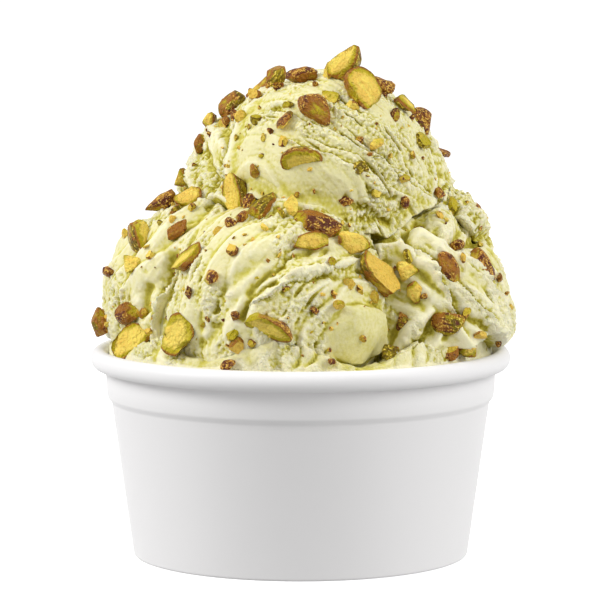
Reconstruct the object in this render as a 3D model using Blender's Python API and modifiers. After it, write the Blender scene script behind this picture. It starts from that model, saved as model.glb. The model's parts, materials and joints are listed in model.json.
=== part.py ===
"""A tub of scooped pistachio gelato: the tub, each scoop and each large pistachio piece is its own solid.

Z points up, X to the right, and the front of the serving looks towards -Y. The origin is the
middle of the tub's foot. Lengths are written in millimetres and turned into metres by MM.
"""

import math
from collections import namedtuple

import bmesh
import bpy
from mathutils import Matrix, Vector, noise

MM = 0.001
GAP = 0.3  # clear space left between pieces that touch
ON_PLANE = 0.01  # a vertex this near a cutting plane counts as on it

# Tub
RIM_RADIUS = 50.0
RIM_HEIGHT = 49.7
ROLL_HALF_WIDTH = 2.1
ROLL_HALF_HEIGHT = 2.4
COLLAR_RADIUS = 46.5
SHOULDER_RADIUS = 46.1
SHOULDER_HEIGHT = 38.2
CREASE_RADIUS = 45.0
CREASE_HEIGHT = 36.6
FOOT_RADIUS = 40.0
FOOT_ROUNDING = 0.7
FOOT_RING_WIDTH = 3.0
FOOT_RECESS = 1.2
WALL = 1.0
FLOOR = 1.5
TUB_STEPS = 36

# Gelato filled into the tub, with a ragged collar pressed against the rim
MOUND_HEIGHT = 58.0
MOUND_RADIUS = 27.0
COLLAR_CREST_RADIUS = 43.0
COLLAR_CREST_HEIGHT = 51.0
COLLAR_RAGGEDNESS = 1.3
FILL_EDGE_HEIGHT = 48.6
FILL_STEPS = 40

# Each tuft: the direction it stands in (degrees round the tub), its half width and its height
Tuft = namedtuple("Tuft", "around spread height")
TUFTS = (
    Tuft(-101, 10, 4.8),
    Tuft(-86, 6, 2.2),
    Tuft(-128, 8, 1.8),
    Tuft(-58, 7, 2.6),
    Tuft(-36, 8, 3.0),
    Tuft(10, 9, 1.6),
    Tuft(60, 10, 2.4),
    Tuft(95, 7, 3.0),
    Tuft(140, 10, 2.2),
    Tuft(178, 8, 1.5),
)

# Scoops: centre and radius, the axis that the spade dragged them about, the spacing and depth of
# the drag folds, the depth of the lumps, how far its back is pressed in, and the share of the
# ball's facets that is kept
Scoop = namedtuple("Scoop", "centre radius drag pitch fold lump press keep")
SCOOPS = {
    "scoop_top": Scoop((7, -1, 90.4), 24.3, (-0.7, -0.5, -0.5), 9.0, 0.5, 0.6, 0.0, 0.17),
    "scoop_crown": Scoop((5, 12, 82.5), 31.4, (0.2, 0.5, -0.8), 9.0, 1.3, 2.0, 6.0, 0.09),
    "scoop_front": Scoop((-5, -16.5, 58.5), 27.2, (0.75, -0.2, 0.65), 9.0, 0.6, 0.7, 0.0, 0.18),
    "scoop_left": Scoop((-21, 2, 60.0), 26.2, (-0.6, 0.6, -0.5), 8.0, 1.1, 1.0, 0.0, 0.13),
    "scoop_right": Scoop((23, -1, 56.0), 27.5, (0.75, 0.25, 0.6), 7.5, 1.5, 0.9, 0.0, 0.19),
    "scoop_rear": Scoop((2, 19, 58.0), 27.0, (0.3, 0.9, 0.4), 8.5, 1.4, 1.0, 0.0, 0.18),
    "scoop_shoulder": Scoop((31, 4, 73.0), 13.8, (0.5, -0.6, 0.6), 6.0, 0.8, 2.0, 0.0, 0.10),
}
BALL_DETAIL = 5  # icosphere subdivisions: 5120 facets before thinning

# Folds that stand out on the front of the scoops, drawn as seen square on from the front:
# a ridge is a rope of gelato, a groove is a furrow, and a lip is a torn edge that stands proud
# on its left side, going from the first point to the last, and fades away from there.
Fold = namedtuple("Fold", "scoops kind height width points")
FOLDS = (
    Fold(("scoop_top",), "lip", -1.1, 5.0, ((4, 104), (13, 101), (20, 96), (27, 91), (30, 87))),
    Fold(("scoop_top",), "lip", -0.8, 4.0, ((-1, 100), (8, 97), (16, 93), (22, 89))),
    Fold(("scoop_top",), "ridge", 1.4, 3.5, ((3, 80), (12, 80), (22, 77), (28, 81), (31, 87))),
    Fold(("scoop_front", "scoop_right"), "ridge", 2.4, 2.4,
         ((-5, 87), (3, 85), (12, 82), (20, 76), (30, 69), (36, 63), (39, 56))),
    Fold(("scoop_front",), "groove", 1.5, 1.8, ((-22, 55), (-17, 63), (-9, 70), (5, 76))),
    Fold(("scoop_front",), "groove", 1.2, 1.7, ((-23, 59), (-18, 67), (-11, 73), (0, 78))),
    Fold(("scoop_front",), "lip", 1.2, 4.0, ((-10, 65), (-3, 69), (9, 72))),
    Fold(("scoop_front",), "ridge", 1.3, 5.0, ((11, 60), (12.5, 57))),
    Fold(("scoop_crown",), "ridge", 2.2, 6.0, ((-24, 98), (-27, 91), (-29, 84))),
    Fold(("scoop_left",), "lip", 1.8, 5.0, ((-16, 83), (-26, 74), (-32, 66), (-34, 56))),
    Fold(("scoop_left",), "groove", 1.3, 1.8, ((-35, 82), (-41, 71), (-43, 60))),
    Fold(("scoop_left",), "groove", 1.4, 1.8, ((-30, 69), (-37, 63), (-42, 53))),
    Fold(("scoop_right",), "ridge", 1.6, 2.2, ((16, 76), (22, 72), (28, 67), (33, 61), (38, 53))),
    Fold(("scoop_right",), "ridge", 1.7, 2.0, ((28, 76), (36, 69), (41, 62), (45, 53))),
    Fold(("scoop_right",), "ridge", 1.4, 1.9, ((38, 73), (43, 66), (46, 60), (48, 52))),
    Fold(("scoop_right",), "ridge", 1.8, 1.9, ((15, 46), (20, 52), (25, 57), (29, 61))),
    Fold(("scoop_right",), "ridge", 1.4, 1.9, ((23, 46), (29, 52), (33, 56))),
)

# Pistachio pieces, placed as seen square on from the front or from behind: the distance across
# and the height of the middle, the piece's kind, length and width, the turn of its long side from
# level, the roll of its cut face away from straight out, and how far it's turned out of the
# gelato's skin to be seen square on (0 lies in the skin, 1 faces the viewer).
Piece = namedtuple("Piece", "across height kind length width turn roll square")
FRONT_PIECES = (
    Piece(11.2, 118.2, "wedge", 10.0, 8.0, 45, 30, 1.0),
    Piece(14.1, 111.0, "half", 10.4, 7.8, -62, 20, 0.7),
    Piece(3.6, 106.8, "whole", 9.8, 6.6, -50, 0, 0.5),
    Piece(0.2, 97.0, "half", 9.8, 7.0, 8, -50, 0.3),
    Piece(-7.0, 115.5, "whole", 7.4, 5.4, 58, 0, 0.7),
    Piece(-1.2, 119.0, "half", 7.6, 4.6, 8, 160, 0.8),
    Piece(-16.0, 106.5, "end", 7.0, 6.0, 55, 0, 0.3),
    Piece(20.4, 114.5, "whole", 6.4, 4.8, -40, 0, 0.3),
    Piece(25.2, 108.3, "half", 5.8, 4.6, -45, 20, 0.3),
    Piece(29.4, 103.6, "whole", 7.0, 6.6, -50, 0, 0.3),
    Piece(-21.3, 103.0, "chunk", 4.0, 3.4, 20, 0, 0.0),
    Piece(-26.3, 98.8, "end", 4.4, 3.6, 70, 0, 0.0),
    Piece(-31.0, 90.2, "chunk", 4.6, 3.8, 60, 0, 0.0),
    Piece(-13.8, 87.0, "half", 11.4, 8.4, 97, 50, 0.9),
    Piece(-8.1, 84.2, "whole", 8.8, 5.8, 50, 0, 0.5),
    Piece(3.5, 81.0, "whole", 11.6, 6.4, -14, 0, 0.4),
    Piece(2.0, 77.8, "half", 8.4, 4.6, 12, -20, 0.5),
    Piece(11.4, 76.8, "chunk", 7.6, 5.0, 18, 0, 0.5),
    Piece(16.7, 69.6, "half", 12.0, 8.6, -52, 48, 0.9),
    Piece(-34.5, 87.3, "whole", 8.2, 4.4, 42, 0, 0.5),
    Piece(-26.3, 84.5, "half", 7.0, 6.2, 20, -10, 0.3),
    Piece(-38.2, 75.8, "wedge", 9.4, 7.6, -80, 60, 0.5),
    Piece(-28.6, 78.5, "whole", 6.2, 3.6, 42, 0, 0.3),
    Piece(-39.2, 70.4, "chunk", 5.0, 4.0, -20, 0, 0.3),
    Piece(-25.4, 72.9, "half", 9.4, 5.6, 40, 40, 0.6),
    Piece(-39.9, 59.4, "end", 6.4, 5.8, 10, 0, 0.4),
    Piece(-38.3, 53.2, "half", 10.8, 8.0, 32, 30, 0.7),
    Piece(-27.0, 56.0, "half", 9.8, 7.8, 62, 25, 0.8),
    Piece(-48.0, 56.0, "end", 6.6, 4.8, -60, 0, 0.2),
    Piece(-6.5, 60.4, "half", 11.6, 7.4, -24, -55, 0.3),
    Piece(33.5, 58.5, "end", 7.0, 6.4, -25, 0, 0.4),
    Piece(23.6, 58.5, "whole", 5.8, 4.2, -70, 0, 0.3),
    Piece(34.0, 70.5, "whole", 8.8, 5.2, -64, 0, 0.5),
    Piece(41.6, 70.2, "end", 8.8, 6.2, -76, 0, 0.3),
    Piece(24.8, 70.2, "chunk", 5.2, 4.4, 10, 0, 0.4),
    Piece(26.4, 65.5, "chunk", 4.8, 3.8, -50, 0, 0.4),
    Piece(38.4, 52.6, "chunk", 4.8, 4.2, 0, 0, 0.4),
)
REAR_PIECES = (
    Piece(-8.0, 108.0, "half", 9.5, 6.8, 35, 20, 0.3),
    Piece(6.0, 100.0, "whole", 9.0, 5.6, -30, 0, 0.2),
    Piece(-20.0, 97.0, "end", 7.0, 5.6, 60, 0, 0.2),
    Piece(17.0, 90.0, "half", 10.0, 7.2, 15, 40, 0.2),
    Piece(-5.0, 86.0, "chunk", 6.4, 5.0, 70, 0, 0.0),
    Piece(-33.0, 76.0, "half", 9.0, 6.4, -55, 160, 0.2),
    Piece(28.0, 77.0, "whole", 8.4, 5.6, 50, 0, 0.2),
    Piece(6.0, 72.0, "half", 11.0, 7.4, -20, 30, 0.2),
    Piece(-16.0, 66.0, "whole", 9.6, 6.0, 25, 0, 0.2),
    Piece(38.0, 60.0, "end", 7.0, 5.6, -40, 0, 0.2),
    Piece(20.0, 59.0, "half", 9.4, 6.6, 75, -40, 0.2),
    Piece(-38.0, 59.0, "chunk", 5.6, 4.8, 15, 0, 0.2),
    Piece(-3.0, 57.5, "wedge", 8.4, 5.6, -50, 30, 0.2),
)
DEPTH_OF_WIDTH = {"half": 0.58, "wedge": 0.8, "whole": 0.8, "end": 0.85, "chunk": 0.85}
KERNEL_SIDES = 7
KERNEL_RINGS = 5
KERNEL_TAPER = 0.2
END_CUT = 0.25
LEAST_LIFT = 0.12  # how far a piece's middle stands off the gelato's skin, by its thickness
MOST_LIFT = 0.34
SEARCH_REACH = 5.0  # where the search for the gelato's skin starts, beyond its scoop's radius
SEARCH_STEP = 0.2


def clear_scene():
    for obj in list(bpy.data.objects):
        bpy.data.objects.remove(obj, do_unlink=True)


def new_collection(name):
    collection = bpy.data.collections.new(name)
    bpy.context.scene.collection.children.link(collection)
    return collection


def finish(name, colour, roughness):
    material = bpy.data.materials.new(name)
    material.use_nodes = True
    shader = material.node_tree.nodes["Principled BSDF"]
    shader.inputs["Base Color"].default_value = (*colour, 1.0)
    shader.inputs["Roughness"].default_value = roughness
    shader.inputs["Metallic"].default_value = 0.0
    return material


def object_from(bm, name, collection, material=None):
    """Turns the millimetre form into an object in metres."""
    bmesh.ops.scale(bm, vec=(MM, MM, MM), verts=bm.verts)
    bmesh.ops.recalc_face_normals(bm, faces=bm.faces)
    if bm.calc_volume(signed=True) < 0:
        bmesh.ops.reverse_faces(bm, faces=bm.faces)
    mesh = bpy.data.meshes.new(name)
    bm.to_mesh(mesh)
    bm.free()
    obj = bpy.data.objects.new(name, mesh)
    collection.objects.link(obj)
    if material:
        mesh.materials.append(material)
    return obj


def make_cutter(obj):
    obj.hide_render = True
    obj.display_type = "WIRE"
    return obj


def evaluated_mesh(obj):
    bpy.context.view_layer.update()
    graph = bpy.context.evaluated_depsgraph_get()
    return bpy.data.meshes.new_from_object(obj.evaluated_get(graph))


def slice_off(bm, normal, offset):
    """Removes what lies beyond the plane, and closes the cut with a flat face."""
    cut = bmesh.ops.bisect_plane(
        bm,
        geom=bm.verts[:] + bm.edges[:] + bm.faces[:],
        dist=ON_PLANE,
        plane_co=normal * offset,
        plane_no=normal,
        clear_outer=True,
    )
    edges = [e for e in cut["geom_cut"] if isinstance(e, bmesh.types.BMEdge) and e.is_boundary]
    if edges:
        bmesh.ops.triangle_fill(bm, use_beauty=True, edges=edges, normal=normal)
    bmesh.ops.remove_doubles(bm, verts=bm.verts, dist=ON_PLANE / 10)


def spin_profile(profile, steps):
    """A closed form turned about the vertical axis from a profile that starts and ends on it."""
    bm = bmesh.new()
    verts = [bm.verts.new((radius, 0.0, height)) for radius, height in profile]
    edges = [bm.edges.new(pair) for pair in zip(verts, verts[1:])]
    bmesh.ops.spin(
        bm, geom=verts + edges, cent=(0, 0, 0), axis=(0, 0, 1), angle=2 * math.pi, steps=steps,
        use_merge=True,
    )
    bmesh.ops.remove_doubles(bm, verts=bm.verts, dist=0.001)
    bmesh.ops.triangulate(bm, faces=bm.faces, quad_method="FIXED")
    return bm


# --- Tub ---------------------------------------------------------------------------------------


def inner_radius(height):
    """Radius of the tub's inner wall below the rolled rim."""
    if height < CREASE_HEIGHT:
        outer = FOOT_RADIUS + (CREASE_RADIUS - FOOT_RADIUS) * height / CREASE_HEIGHT
    else:
        share = min(1.0, (height - CREASE_HEIGHT) / (SHOULDER_HEIGHT - CREASE_HEIGHT))
        outer = CREASE_RADIUS + (SHOULDER_RADIUS - CREASE_RADIUS) * share
    return outer - WALL


def tub_profile():
    roll_radius = RIM_RADIUS - ROLL_HALF_WIDTH
    roll_height = RIM_HEIGHT - ROLL_HALF_HEIGHT
    floor = FOOT_RECESS + FLOOR
    inside = [
        (0.0, floor),
        (inner_radius(floor), floor),
        (inner_radius(CREASE_HEIGHT), CREASE_HEIGHT),
        (inner_radius(SHOULDER_HEIGHT), SHOULDER_HEIGHT),
    ]
    under = math.acos((COLLAR_RADIUS - roll_radius) / ROLL_HALF_WIDTH)
    turns = [math.radians(t) for t in (180, 135, 90, 45, 0, -45, -90)] + [-under]
    roll = [
        (roll_radius + ROLL_HALF_WIDTH * math.cos(t), roll_height + ROLL_HALF_HEIGHT * math.sin(t))
        for t in turns
    ]
    step = SHOULDER_RADIUS - CREASE_RADIUS
    outside = [
        (SHOULDER_RADIUS, SHOULDER_HEIGHT),
        (SHOULDER_RADIUS - 0.3 * step, (SHOULDER_HEIGHT + CREASE_HEIGHT) / 2),
        (CREASE_RADIUS, CREASE_HEIGHT),
        (FOOT_RADIUS, FOOT_ROUNDING),
        (FOOT_RADIUS - FOOT_ROUNDING, 0.0),
        (FOOT_RADIUS - FOOT_RING_WIDTH, 0.0),
        (FOOT_RADIUS - FOOT_RING_WIDTH - FOOT_ROUNDING, FOOT_RECESS),
        (0.0, FOOT_RECESS),
    ]
    return inside + roll + outside


def make_tub(collection):
    mesh = bpy.data.meshes.new("tub")
    points = [(radius * MM, 0.0, height * MM) for radius, height in tub_profile()]
    mesh.from_pydata(points, [(i, i + 1) for i in range(len(points) - 1)], [])
    mesh.materials.append(finish("tub white", (0.86, 0.86, 0.86), 0.35))
    tub = bpy.data.objects.new("tub", mesh)
    collection.objects.link(tub)
    screw = tub.modifiers.new("turn", "SCREW")
    screw.axis = "Z"
    screw.steps = screw.render_steps = TUB_STEPS
    screw.use_merge_vertices = True
    screw.merge_threshold = 0.00001
    screw.use_smooth_shade = True
    return tub


# --- Gelato ------------------------------------------------------------------------------------


def tuft_height(around):
    """How far the ragged collar stands up in this direction, in degrees round the tub."""
    height = COLLAR_RAGGEDNESS * noise.noise(
        Vector((3.1 * math.cos(math.radians(around)), 3.1 * math.sin(math.radians(around)), 4.0))
    )
    for tuft in TUFTS:
        away = (around - tuft.around + 180) % 360 - 180
        height += tuft.height * math.exp(-((away / tuft.spread) ** 2))
    return height


def fill_top(radius, around):
    """Height of the filled gelato's top: a mound under the scoops, a ragged collar, its edge."""
    crest = COLLAR_CREST_HEIGHT + tuft_height(around)
    edge = inner_radius(FILL_EDGE_HEIGHT) - GAP
    if radius <= MOUND_RADIUS:
        return MOUND_HEIGHT
    if radius <= COLLAR_CREST_RADIUS:
        fall = (radius - MOUND_RADIUS) / (COLLAR_CREST_RADIUS - MOUND_RADIUS)
        return MOUND_HEIGHT + (crest - MOUND_HEIGHT) * fall
    fall = min(1.0, (radius - COLLAR_CREST_RADIUS) / (edge - COLLAR_CREST_RADIUS))
    return crest + (FILL_EDGE_HEIGHT - crest) * fall**2


TOP_RADII = (MOUND_RADIUS, 35.0, 39.5, COLLAR_CREST_RADIUS, 44.2)


def raise_top(bm, lift):
    """Moves the vertices of the flat top to the fill's uneven height."""
    for vert in bm.verts:
        if abs(vert.co.z - MOUND_HEIGHT) < 0.01:
            radius = math.hypot(vert.co.x, vert.co.y)
            around = math.degrees(math.atan2(vert.co.y, vert.co.x))
            vert.co.z = fill_top(radius, around) + lift


def make_fill(collection, material):
    """The gelato inside the tub. Its profile runs out along the flat top, then down the wall."""
    floor = FOOT_RECESS + FLOOR + GAP
    edge = inner_radius(FILL_EDGE_HEIGHT) - GAP
    profile = [(radius, MOUND_HEIGHT) for radius in (0.0, *TOP_RADII, edge)]
    profile += [
        (inner_radius(height) - GAP, height) for height in (SHOULDER_HEIGHT, CREASE_HEIGHT, floor)
    ]
    bm = spin_profile(profile + [(0.0, floor)], FILL_STEPS)
    raise_top(bm, 0.0)
    return object_from(bm, "gelato_fill", collection, material)


def make_seat_cutter(collection):
    """All the room under the scoops: the fill with its gap, and the rim with the air beyond it."""
    edge = inner_radius(FILL_EDGE_HEIGHT)
    over_rim = RIM_HEIGHT + GAP
    far = RIM_RADIUS + 15.0
    low = 10.0
    profile = [(radius, MOUND_HEIGHT) for radius in (0.0, *TOP_RADII)]
    profile += [(edge - GAP, over_rim), (far, over_rim), (far, low), (0.0, low)]
    bm = spin_profile(profile, FILL_STEPS)
    raise_top(bm, GAP)
    return make_cutter(object_from(bm, "under_scoops", collection))


def distance_to_fold(point, line):
    """Distance across the front view from a point to a fold's line, and its sign's side."""
    best, side = 1e9, 1.0
    for start, end in zip(line, line[1:]):
        along = Vector(end) - Vector(start)
        to_point = point - Vector(start)
        share = min(1.0, max(0.0, to_point.dot(along) / along.length_squared))
        away = to_point - along * share
        if away.length < best:
            best = away.length
            side = math.copysign(1.0, along.x * to_point.y - along.y * to_point.x)
    return best, side


def fold_height(name, point):
    """What the drawn folds add at a point on the front half of this scoop."""
    height = 0.0
    for fold in FOLDS:
        if name not in fold.scoops:
            continue
        away, side = distance_to_fold(Vector((point.x, point.z)), fold.points)
        if fold.kind == "ridge":
            height += fold.height * math.exp(-((away / fold.width) ** 2))
        elif fold.kind == "groove":
            height -= fold.height * math.exp(-((away / fold.width) ** 2))
        elif side > 0:
            height += fold.height * math.exp(-away / fold.width)
    return height


def skin_radius(name, direction):
    """Distance from a scoop's centre to its skin in a direction."""
    scoop = SCOOPS[name]
    seed = Vector((7.3, 1.9, 4.1)) * (1 + list(SCOOPS).index(name))
    warp = noise.noise(direction * 1.7 + seed)
    about = math.acos(max(-1.0, min(1.0, direction.dot(Vector(scoop.drag).normalized()))))
    wave = (about * scoop.radius / scoop.pitch + 0.9 * warp) % 1.0
    ramp = wave / 0.75 if wave < 0.75 else (1.0 - wave) / 0.25
    radius = scoop.radius + scoop.fold * (ramp - 0.5)
    radius += scoop.lump * noise.noise(direction * 3.1 + seed)
    radius -= scoop.press * max(0.0, direction.y) ** 2
    if direction.y < 0.35:
        radius += fold_height(name, Vector(scoop.centre) + direction * scoop.radius)
    return radius


def dividing_plane(name, other):
    """The plane where two scoops meet, as its normal away from the first and its offset."""
    here, there = SCOOPS[name], SCOOPS[other]
    start, end = Vector(here.centre), Vector(there.centre)
    apart = (end - start).length
    normal = (end - start) / apart
    share = (apart**2 + here.radius**2 - there.radius**2) / (2 * apart)
    return normal, normal.dot(start) + share - GAP / 2


def make_scoop(name, helpers, material):
    """A dragged and lumpy ball, thinned out, then cut flat where it meets its neighbours."""
    scoop = SCOOPS[name]
    bm = bmesh.new()
    bmesh.ops.create_icosphere(bm, subdivisions=BALL_DETAIL, radius=1.0)
    for vert in bm.verts:
        direction = vert.co.normalized()
        vert.co = Vector(scoop.centre) + direction * skin_radius(name, direction)
    ball = object_from(bm, name + "_ball", helpers)
    thin = ball.modifiers.new("thin", "DECIMATE")
    thin.ratio = scoop.keep
    thinned = evaluated_mesh(ball)
    bpy.data.objects.remove(ball, do_unlink=True)
    bm = bmesh.new()
    bm.from_mesh(thinned)
    bpy.data.meshes.remove(thinned)
    bmesh.ops.scale(bm, vec=(1 / MM, 1 / MM, 1 / MM), verts=bm.verts)
    for other in SCOOPS:
        reach = scoop.radius + SCOOPS[other].radius
        if other != name and (Vector(SCOOPS[other].centre) - Vector(scoop.centre)).length < reach:
            slice_off(bm, *dividing_plane(name, other))
    return object_from(bm, name, helpers, material)


def cut_away(obj, operand):
    """Adds a Boolean difference with one cutter, or with a whole collection of them."""
    cut = obj.modifiers.new("cut", "BOOLEAN")
    cut.operation = "DIFFERENCE"
    cut.solver = "EXACT"
    if isinstance(operand, bpy.types.Collection):
        cut.operand_type = "COLLECTION"
        cut.collection = operand
    else:
        cut.object = operand


def main_body_only(obj):
    """Applies the cuts and removes the crumbs that they leave, so that one body remains."""
    mesh = evaluated_mesh(obj)
    bm = bmesh.new()
    bm.from_mesh(mesh)
    bodies = []
    unseen = set(bm.verts)
    while unseen:
        body, edge = set(), {unseen.pop()}
        while edge:
            body |= edge
            edge = {e.other_vert(v) for v in edge for e in v.link_edges} - body
        unseen -= body
        bodies.append(body)
    bodies.sort(key=len)
    for body in bodies[:-1]:
        bmesh.ops.delete(bm, geom=list(body), context="VERTS")
    bm.to_mesh(mesh)
    bm.free()
    obj.modifiers.clear()
    obj.data = mesh


# --- Pistachio pieces --------------------------------------------------------------------------


def kernel(length, width, depth):
    """A whole kernel lying along X: an ellipsoid, fuller at one end."""
    bm = bmesh.new()
    bmesh.ops.create_uvsphere(bm, u_segments=KERNEL_SIDES, v_segments=KERNEL_RINGS, radius=1.0)
    bmesh.ops.rotate(bm, cent=(0, 0, 0), matrix=Matrix.Rotation(math.pi / 2, 3, "Y"), verts=bm.verts)
    for vert in bm.verts:
        girth = 1.0 - KERNEL_TAPER * vert.co.x
        vert.co = Vector((
            vert.co.x * length / 2,
            vert.co.y * girth * width / 2,
            vert.co.z * girth * depth / 2,
        ))
    return bm


def piece_form(kind, length, width):
    """A pistachio piece about its own middle: long side along X, cut face towards +Z."""
    depth = width * DEPTH_OF_WIDTH[kind]
    if kind == "chunk":
        bm = bmesh.new()
        bmesh.ops.create_cube(bm, size=1.0)
        bmesh.ops.scale(bm, vec=(length, width, depth), verts=bm.verts)
        for corner in ((1, 0.7, 0.9), (-0.9, -1, 0.5), (0.6, -0.8, -1), (-1, 0.9, -0.6)):
            slice_off(bm, Vector(corner).normalized(), 0.43 * (length + width) / 2)
        return bm
    if kind == "whole":
        return kernel(length, width, depth)
    if kind == "end":
        bm = kernel(length / (0.5 + END_CUT), width, depth)
        slice_off(bm, Vector((1, 0, 0.25)).normalized(), END_CUT * length / (0.5 + END_CUT))
    else:
        bm = kernel(length, width, 2 * depth)
        slice_off(bm, Vector((0, 0, 1)), 0.0)
        if kind == "wedge":
            slice_off(bm, Vector((0.1, 0.9, -0.45)).normalized(), 0.1 * width)
    low = [min(v.co[i] for v in bm.verts) for i in range(3)]
    high = [max(v.co[i] for v in bm.verts) for i in range(3)]
    middle = (Vector(low) + Vector(high)) / 2
    bmesh.ops.translate(bm, vec=-middle, verts=bm.verts)
    return bm


def skin_point(across, height, side):
    """Where a line from the front (side -1) or from behind (+1) meets the scoops' skin.

    Returns the place, its scoop's outward direction, and how far the line passes outside."""
    met = None
    for name, scoop in SCOOPS.items():
        centre = Vector(scoop.centre)
        from_middle = Vector((across - centre.x, 0.0, height - centre.z))
        deep = scoop.radius + SEARCH_REACH
        while deep > 0.0:
            offset = from_middle + Vector((0.0, side * deep, 0.0))
            outward = offset.normalized()
            if offset.length <= skin_radius(name, outward):
                break
            deep -= SEARCH_STEP
        if deep > 0.0:
            found = (side * (centre.y + side * deep), centre + offset, outward, 0.0)
        else:
            outside = from_middle.length - scoop.radius
            edge = Vector((from_middle.x, 0.2 * side * scoop.radius, from_middle.z)).normalized()
            place = centre + edge * skin_radius(name, edge)
            found = (-1000.0 - outside, place, edge, max(0.0, outside))
        if met is None or found[0] > met[0]:
            met = found
    return met[1:]


def piece_place(piece, side):
    """The matrix, in millimetres, that lays a piece into the gelato's skin."""
    place, outward, outside = skin_point(piece.across, piece.height, side)
    turn = math.radians(piece.turn)
    seen = Vector((math.cos(turn), 0.0, math.sin(turn)))
    facing = outward.slerp(Vector((0.0, side, 0.0)), piece.square)
    along = (seen - facing * seen.dot(facing)).normalized()
    up = Matrix.Rotation(-math.radians(piece.roll), 3, along) @ facing
    across = up.cross(along)
    depth = piece.width * DEPTH_OF_WIDTH[piece.kind]
    thick = Vector((
        piece.length * along.dot(outward), piece.width * across.dot(outward), depth * up.dot(outward)
    )).length
    middle = place + outward * max(LEAST_LIFT * thick, min(outside, MOST_LIFT * thick))
    frame = Matrix((along, across, up)).transposed().to_4x4()
    return Matrix.Translation(middle) @ frame


def make_piece(name, piece, side, collection, pockets, material):
    place = piece_place(piece, side)
    bm = piece_form(piece.kind, piece.length, piece.width)
    bmesh.ops.transform(bm, matrix=place, verts=bm.verts)
    nut = object_from(bm, name, collection, material)
    depth = piece.width * DEPTH_OF_WIDTH[piece.kind]
    grown = [1 + 2 * GAP / side_length for side_length in (piece.length, piece.width, depth)]
    bm = piece_form(piece.kind, piece.length, piece.width)
    bmesh.ops.scale(bm, vec=grown, verts=bm.verts)
    bmesh.ops.transform(bm, matrix=place, verts=bm.verts)
    make_cutter(object_from(bm, name + "_pocket", pockets))
    return nut


# --- The whole serving -------------------------------------------------------------------------


def main():
    clear_scene()
    serving = new_collection("gelato_cup")
    cutters = new_collection("cutters")
    pockets = new_collection("pockets")
    gelato = finish("pistachio gelato", (0.72, 0.74, 0.40), 0.5)
    green = finish("pistachio", (0.42, 0.38, 0.06), 0.5)

    make_tub(serving)
    for side, group, pieces in ((-1, "front", FRONT_PIECES), (1, "rear", REAR_PIECES)):
        for count, piece in enumerate(pieces, 1):
            make_piece(f"pistachio_{group}_{count:02d}", piece, side, serving, pockets, green)

    masses = [make_fill(serving, gelato)]
    seat = make_seat_cutter(cutters)
    for name in SCOOPS:
        scoop = make_scoop(name, serving, gelato)
        cut_away(scoop, seat)
        masses.append(scoop)
    for mass in masses:
        cut_away(mass, pockets)
        main_body_only(mass)
        mass.data.shade_smooth()


main()
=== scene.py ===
"""Looks of a tub of scooped pistachio gelato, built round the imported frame.

Z points up, X to the right, and the front of the serving looks towards -Y. Lengths are in
millimetres until a mesh is made, and MM turns them into the frame's metres.
"""

import json
import math
import random
from collections import namedtuple

import bmesh
import bpy
import numpy as np
from mathutils import Euler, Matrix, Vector, noise
from mathutils.bvhtree import BVHTree

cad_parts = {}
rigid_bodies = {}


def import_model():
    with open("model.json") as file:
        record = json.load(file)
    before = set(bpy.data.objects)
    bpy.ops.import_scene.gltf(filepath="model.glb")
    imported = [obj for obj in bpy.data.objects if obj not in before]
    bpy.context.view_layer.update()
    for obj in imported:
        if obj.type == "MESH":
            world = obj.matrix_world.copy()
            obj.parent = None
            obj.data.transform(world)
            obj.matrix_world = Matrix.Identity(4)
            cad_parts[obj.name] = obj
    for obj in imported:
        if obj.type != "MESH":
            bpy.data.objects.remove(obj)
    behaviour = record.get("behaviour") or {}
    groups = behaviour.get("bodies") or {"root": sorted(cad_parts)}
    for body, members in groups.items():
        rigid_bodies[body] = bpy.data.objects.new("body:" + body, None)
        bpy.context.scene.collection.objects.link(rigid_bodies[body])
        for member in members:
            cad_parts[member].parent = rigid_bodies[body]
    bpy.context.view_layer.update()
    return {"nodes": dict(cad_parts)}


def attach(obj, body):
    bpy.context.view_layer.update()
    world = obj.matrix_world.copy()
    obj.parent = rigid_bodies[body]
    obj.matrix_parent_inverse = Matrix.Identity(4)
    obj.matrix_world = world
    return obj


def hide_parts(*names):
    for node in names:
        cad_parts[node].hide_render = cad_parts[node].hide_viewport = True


for startup in list(bpy.data.objects):
    bpy.data.objects.remove(startup, do_unlink=True)
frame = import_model()

noise.seed_set(1)  # noise_vector draws on it, and takes the clock where it isn't set

MM = 0.001
GAP = 0.3  # clear space between the gelato and the tub

# --- Sizes ---------------------------------------------------------------------------------------

# Tub
RIM_RADIUS = 50.0
RIM_HEIGHT = 49.7
ROLL_HALF_WIDTH = 2.1
ROLL_HALF_HEIGHT = 2.4
COLLAR_RADIUS = 46.5
SHOULDER_RADIUS = 46.1
SHOULDER_HEIGHT = 38.2
CREASE_RADIUS = 45.0
CREASE_HEIGHT = 36.6
FOOT_RADIUS = 40.0
FOOT_ROUNDING = 0.7
FOOT_RING_WIDTH = 3.0
FOOT_RECESS = 1.2
WALL = 1.0
FLOOR = 1.5
TUB_STEPS = 180

# Gelato in the tub
MOUND_RADIUS = 32.0
MOUND_HEIGHT = 47.0
CREST_RADIUS = 44.0
CREST_HEIGHT = 51.0
LEDGE_WIDTH = 2.2
SEAT_SINK = 0.7  # how far the scoops sink into the gelato below
FILL_EDGE_RADIUS = 45.6
FILL_EDGE_HEIGHT = 49.0
FILL_STEPS = 560
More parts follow.
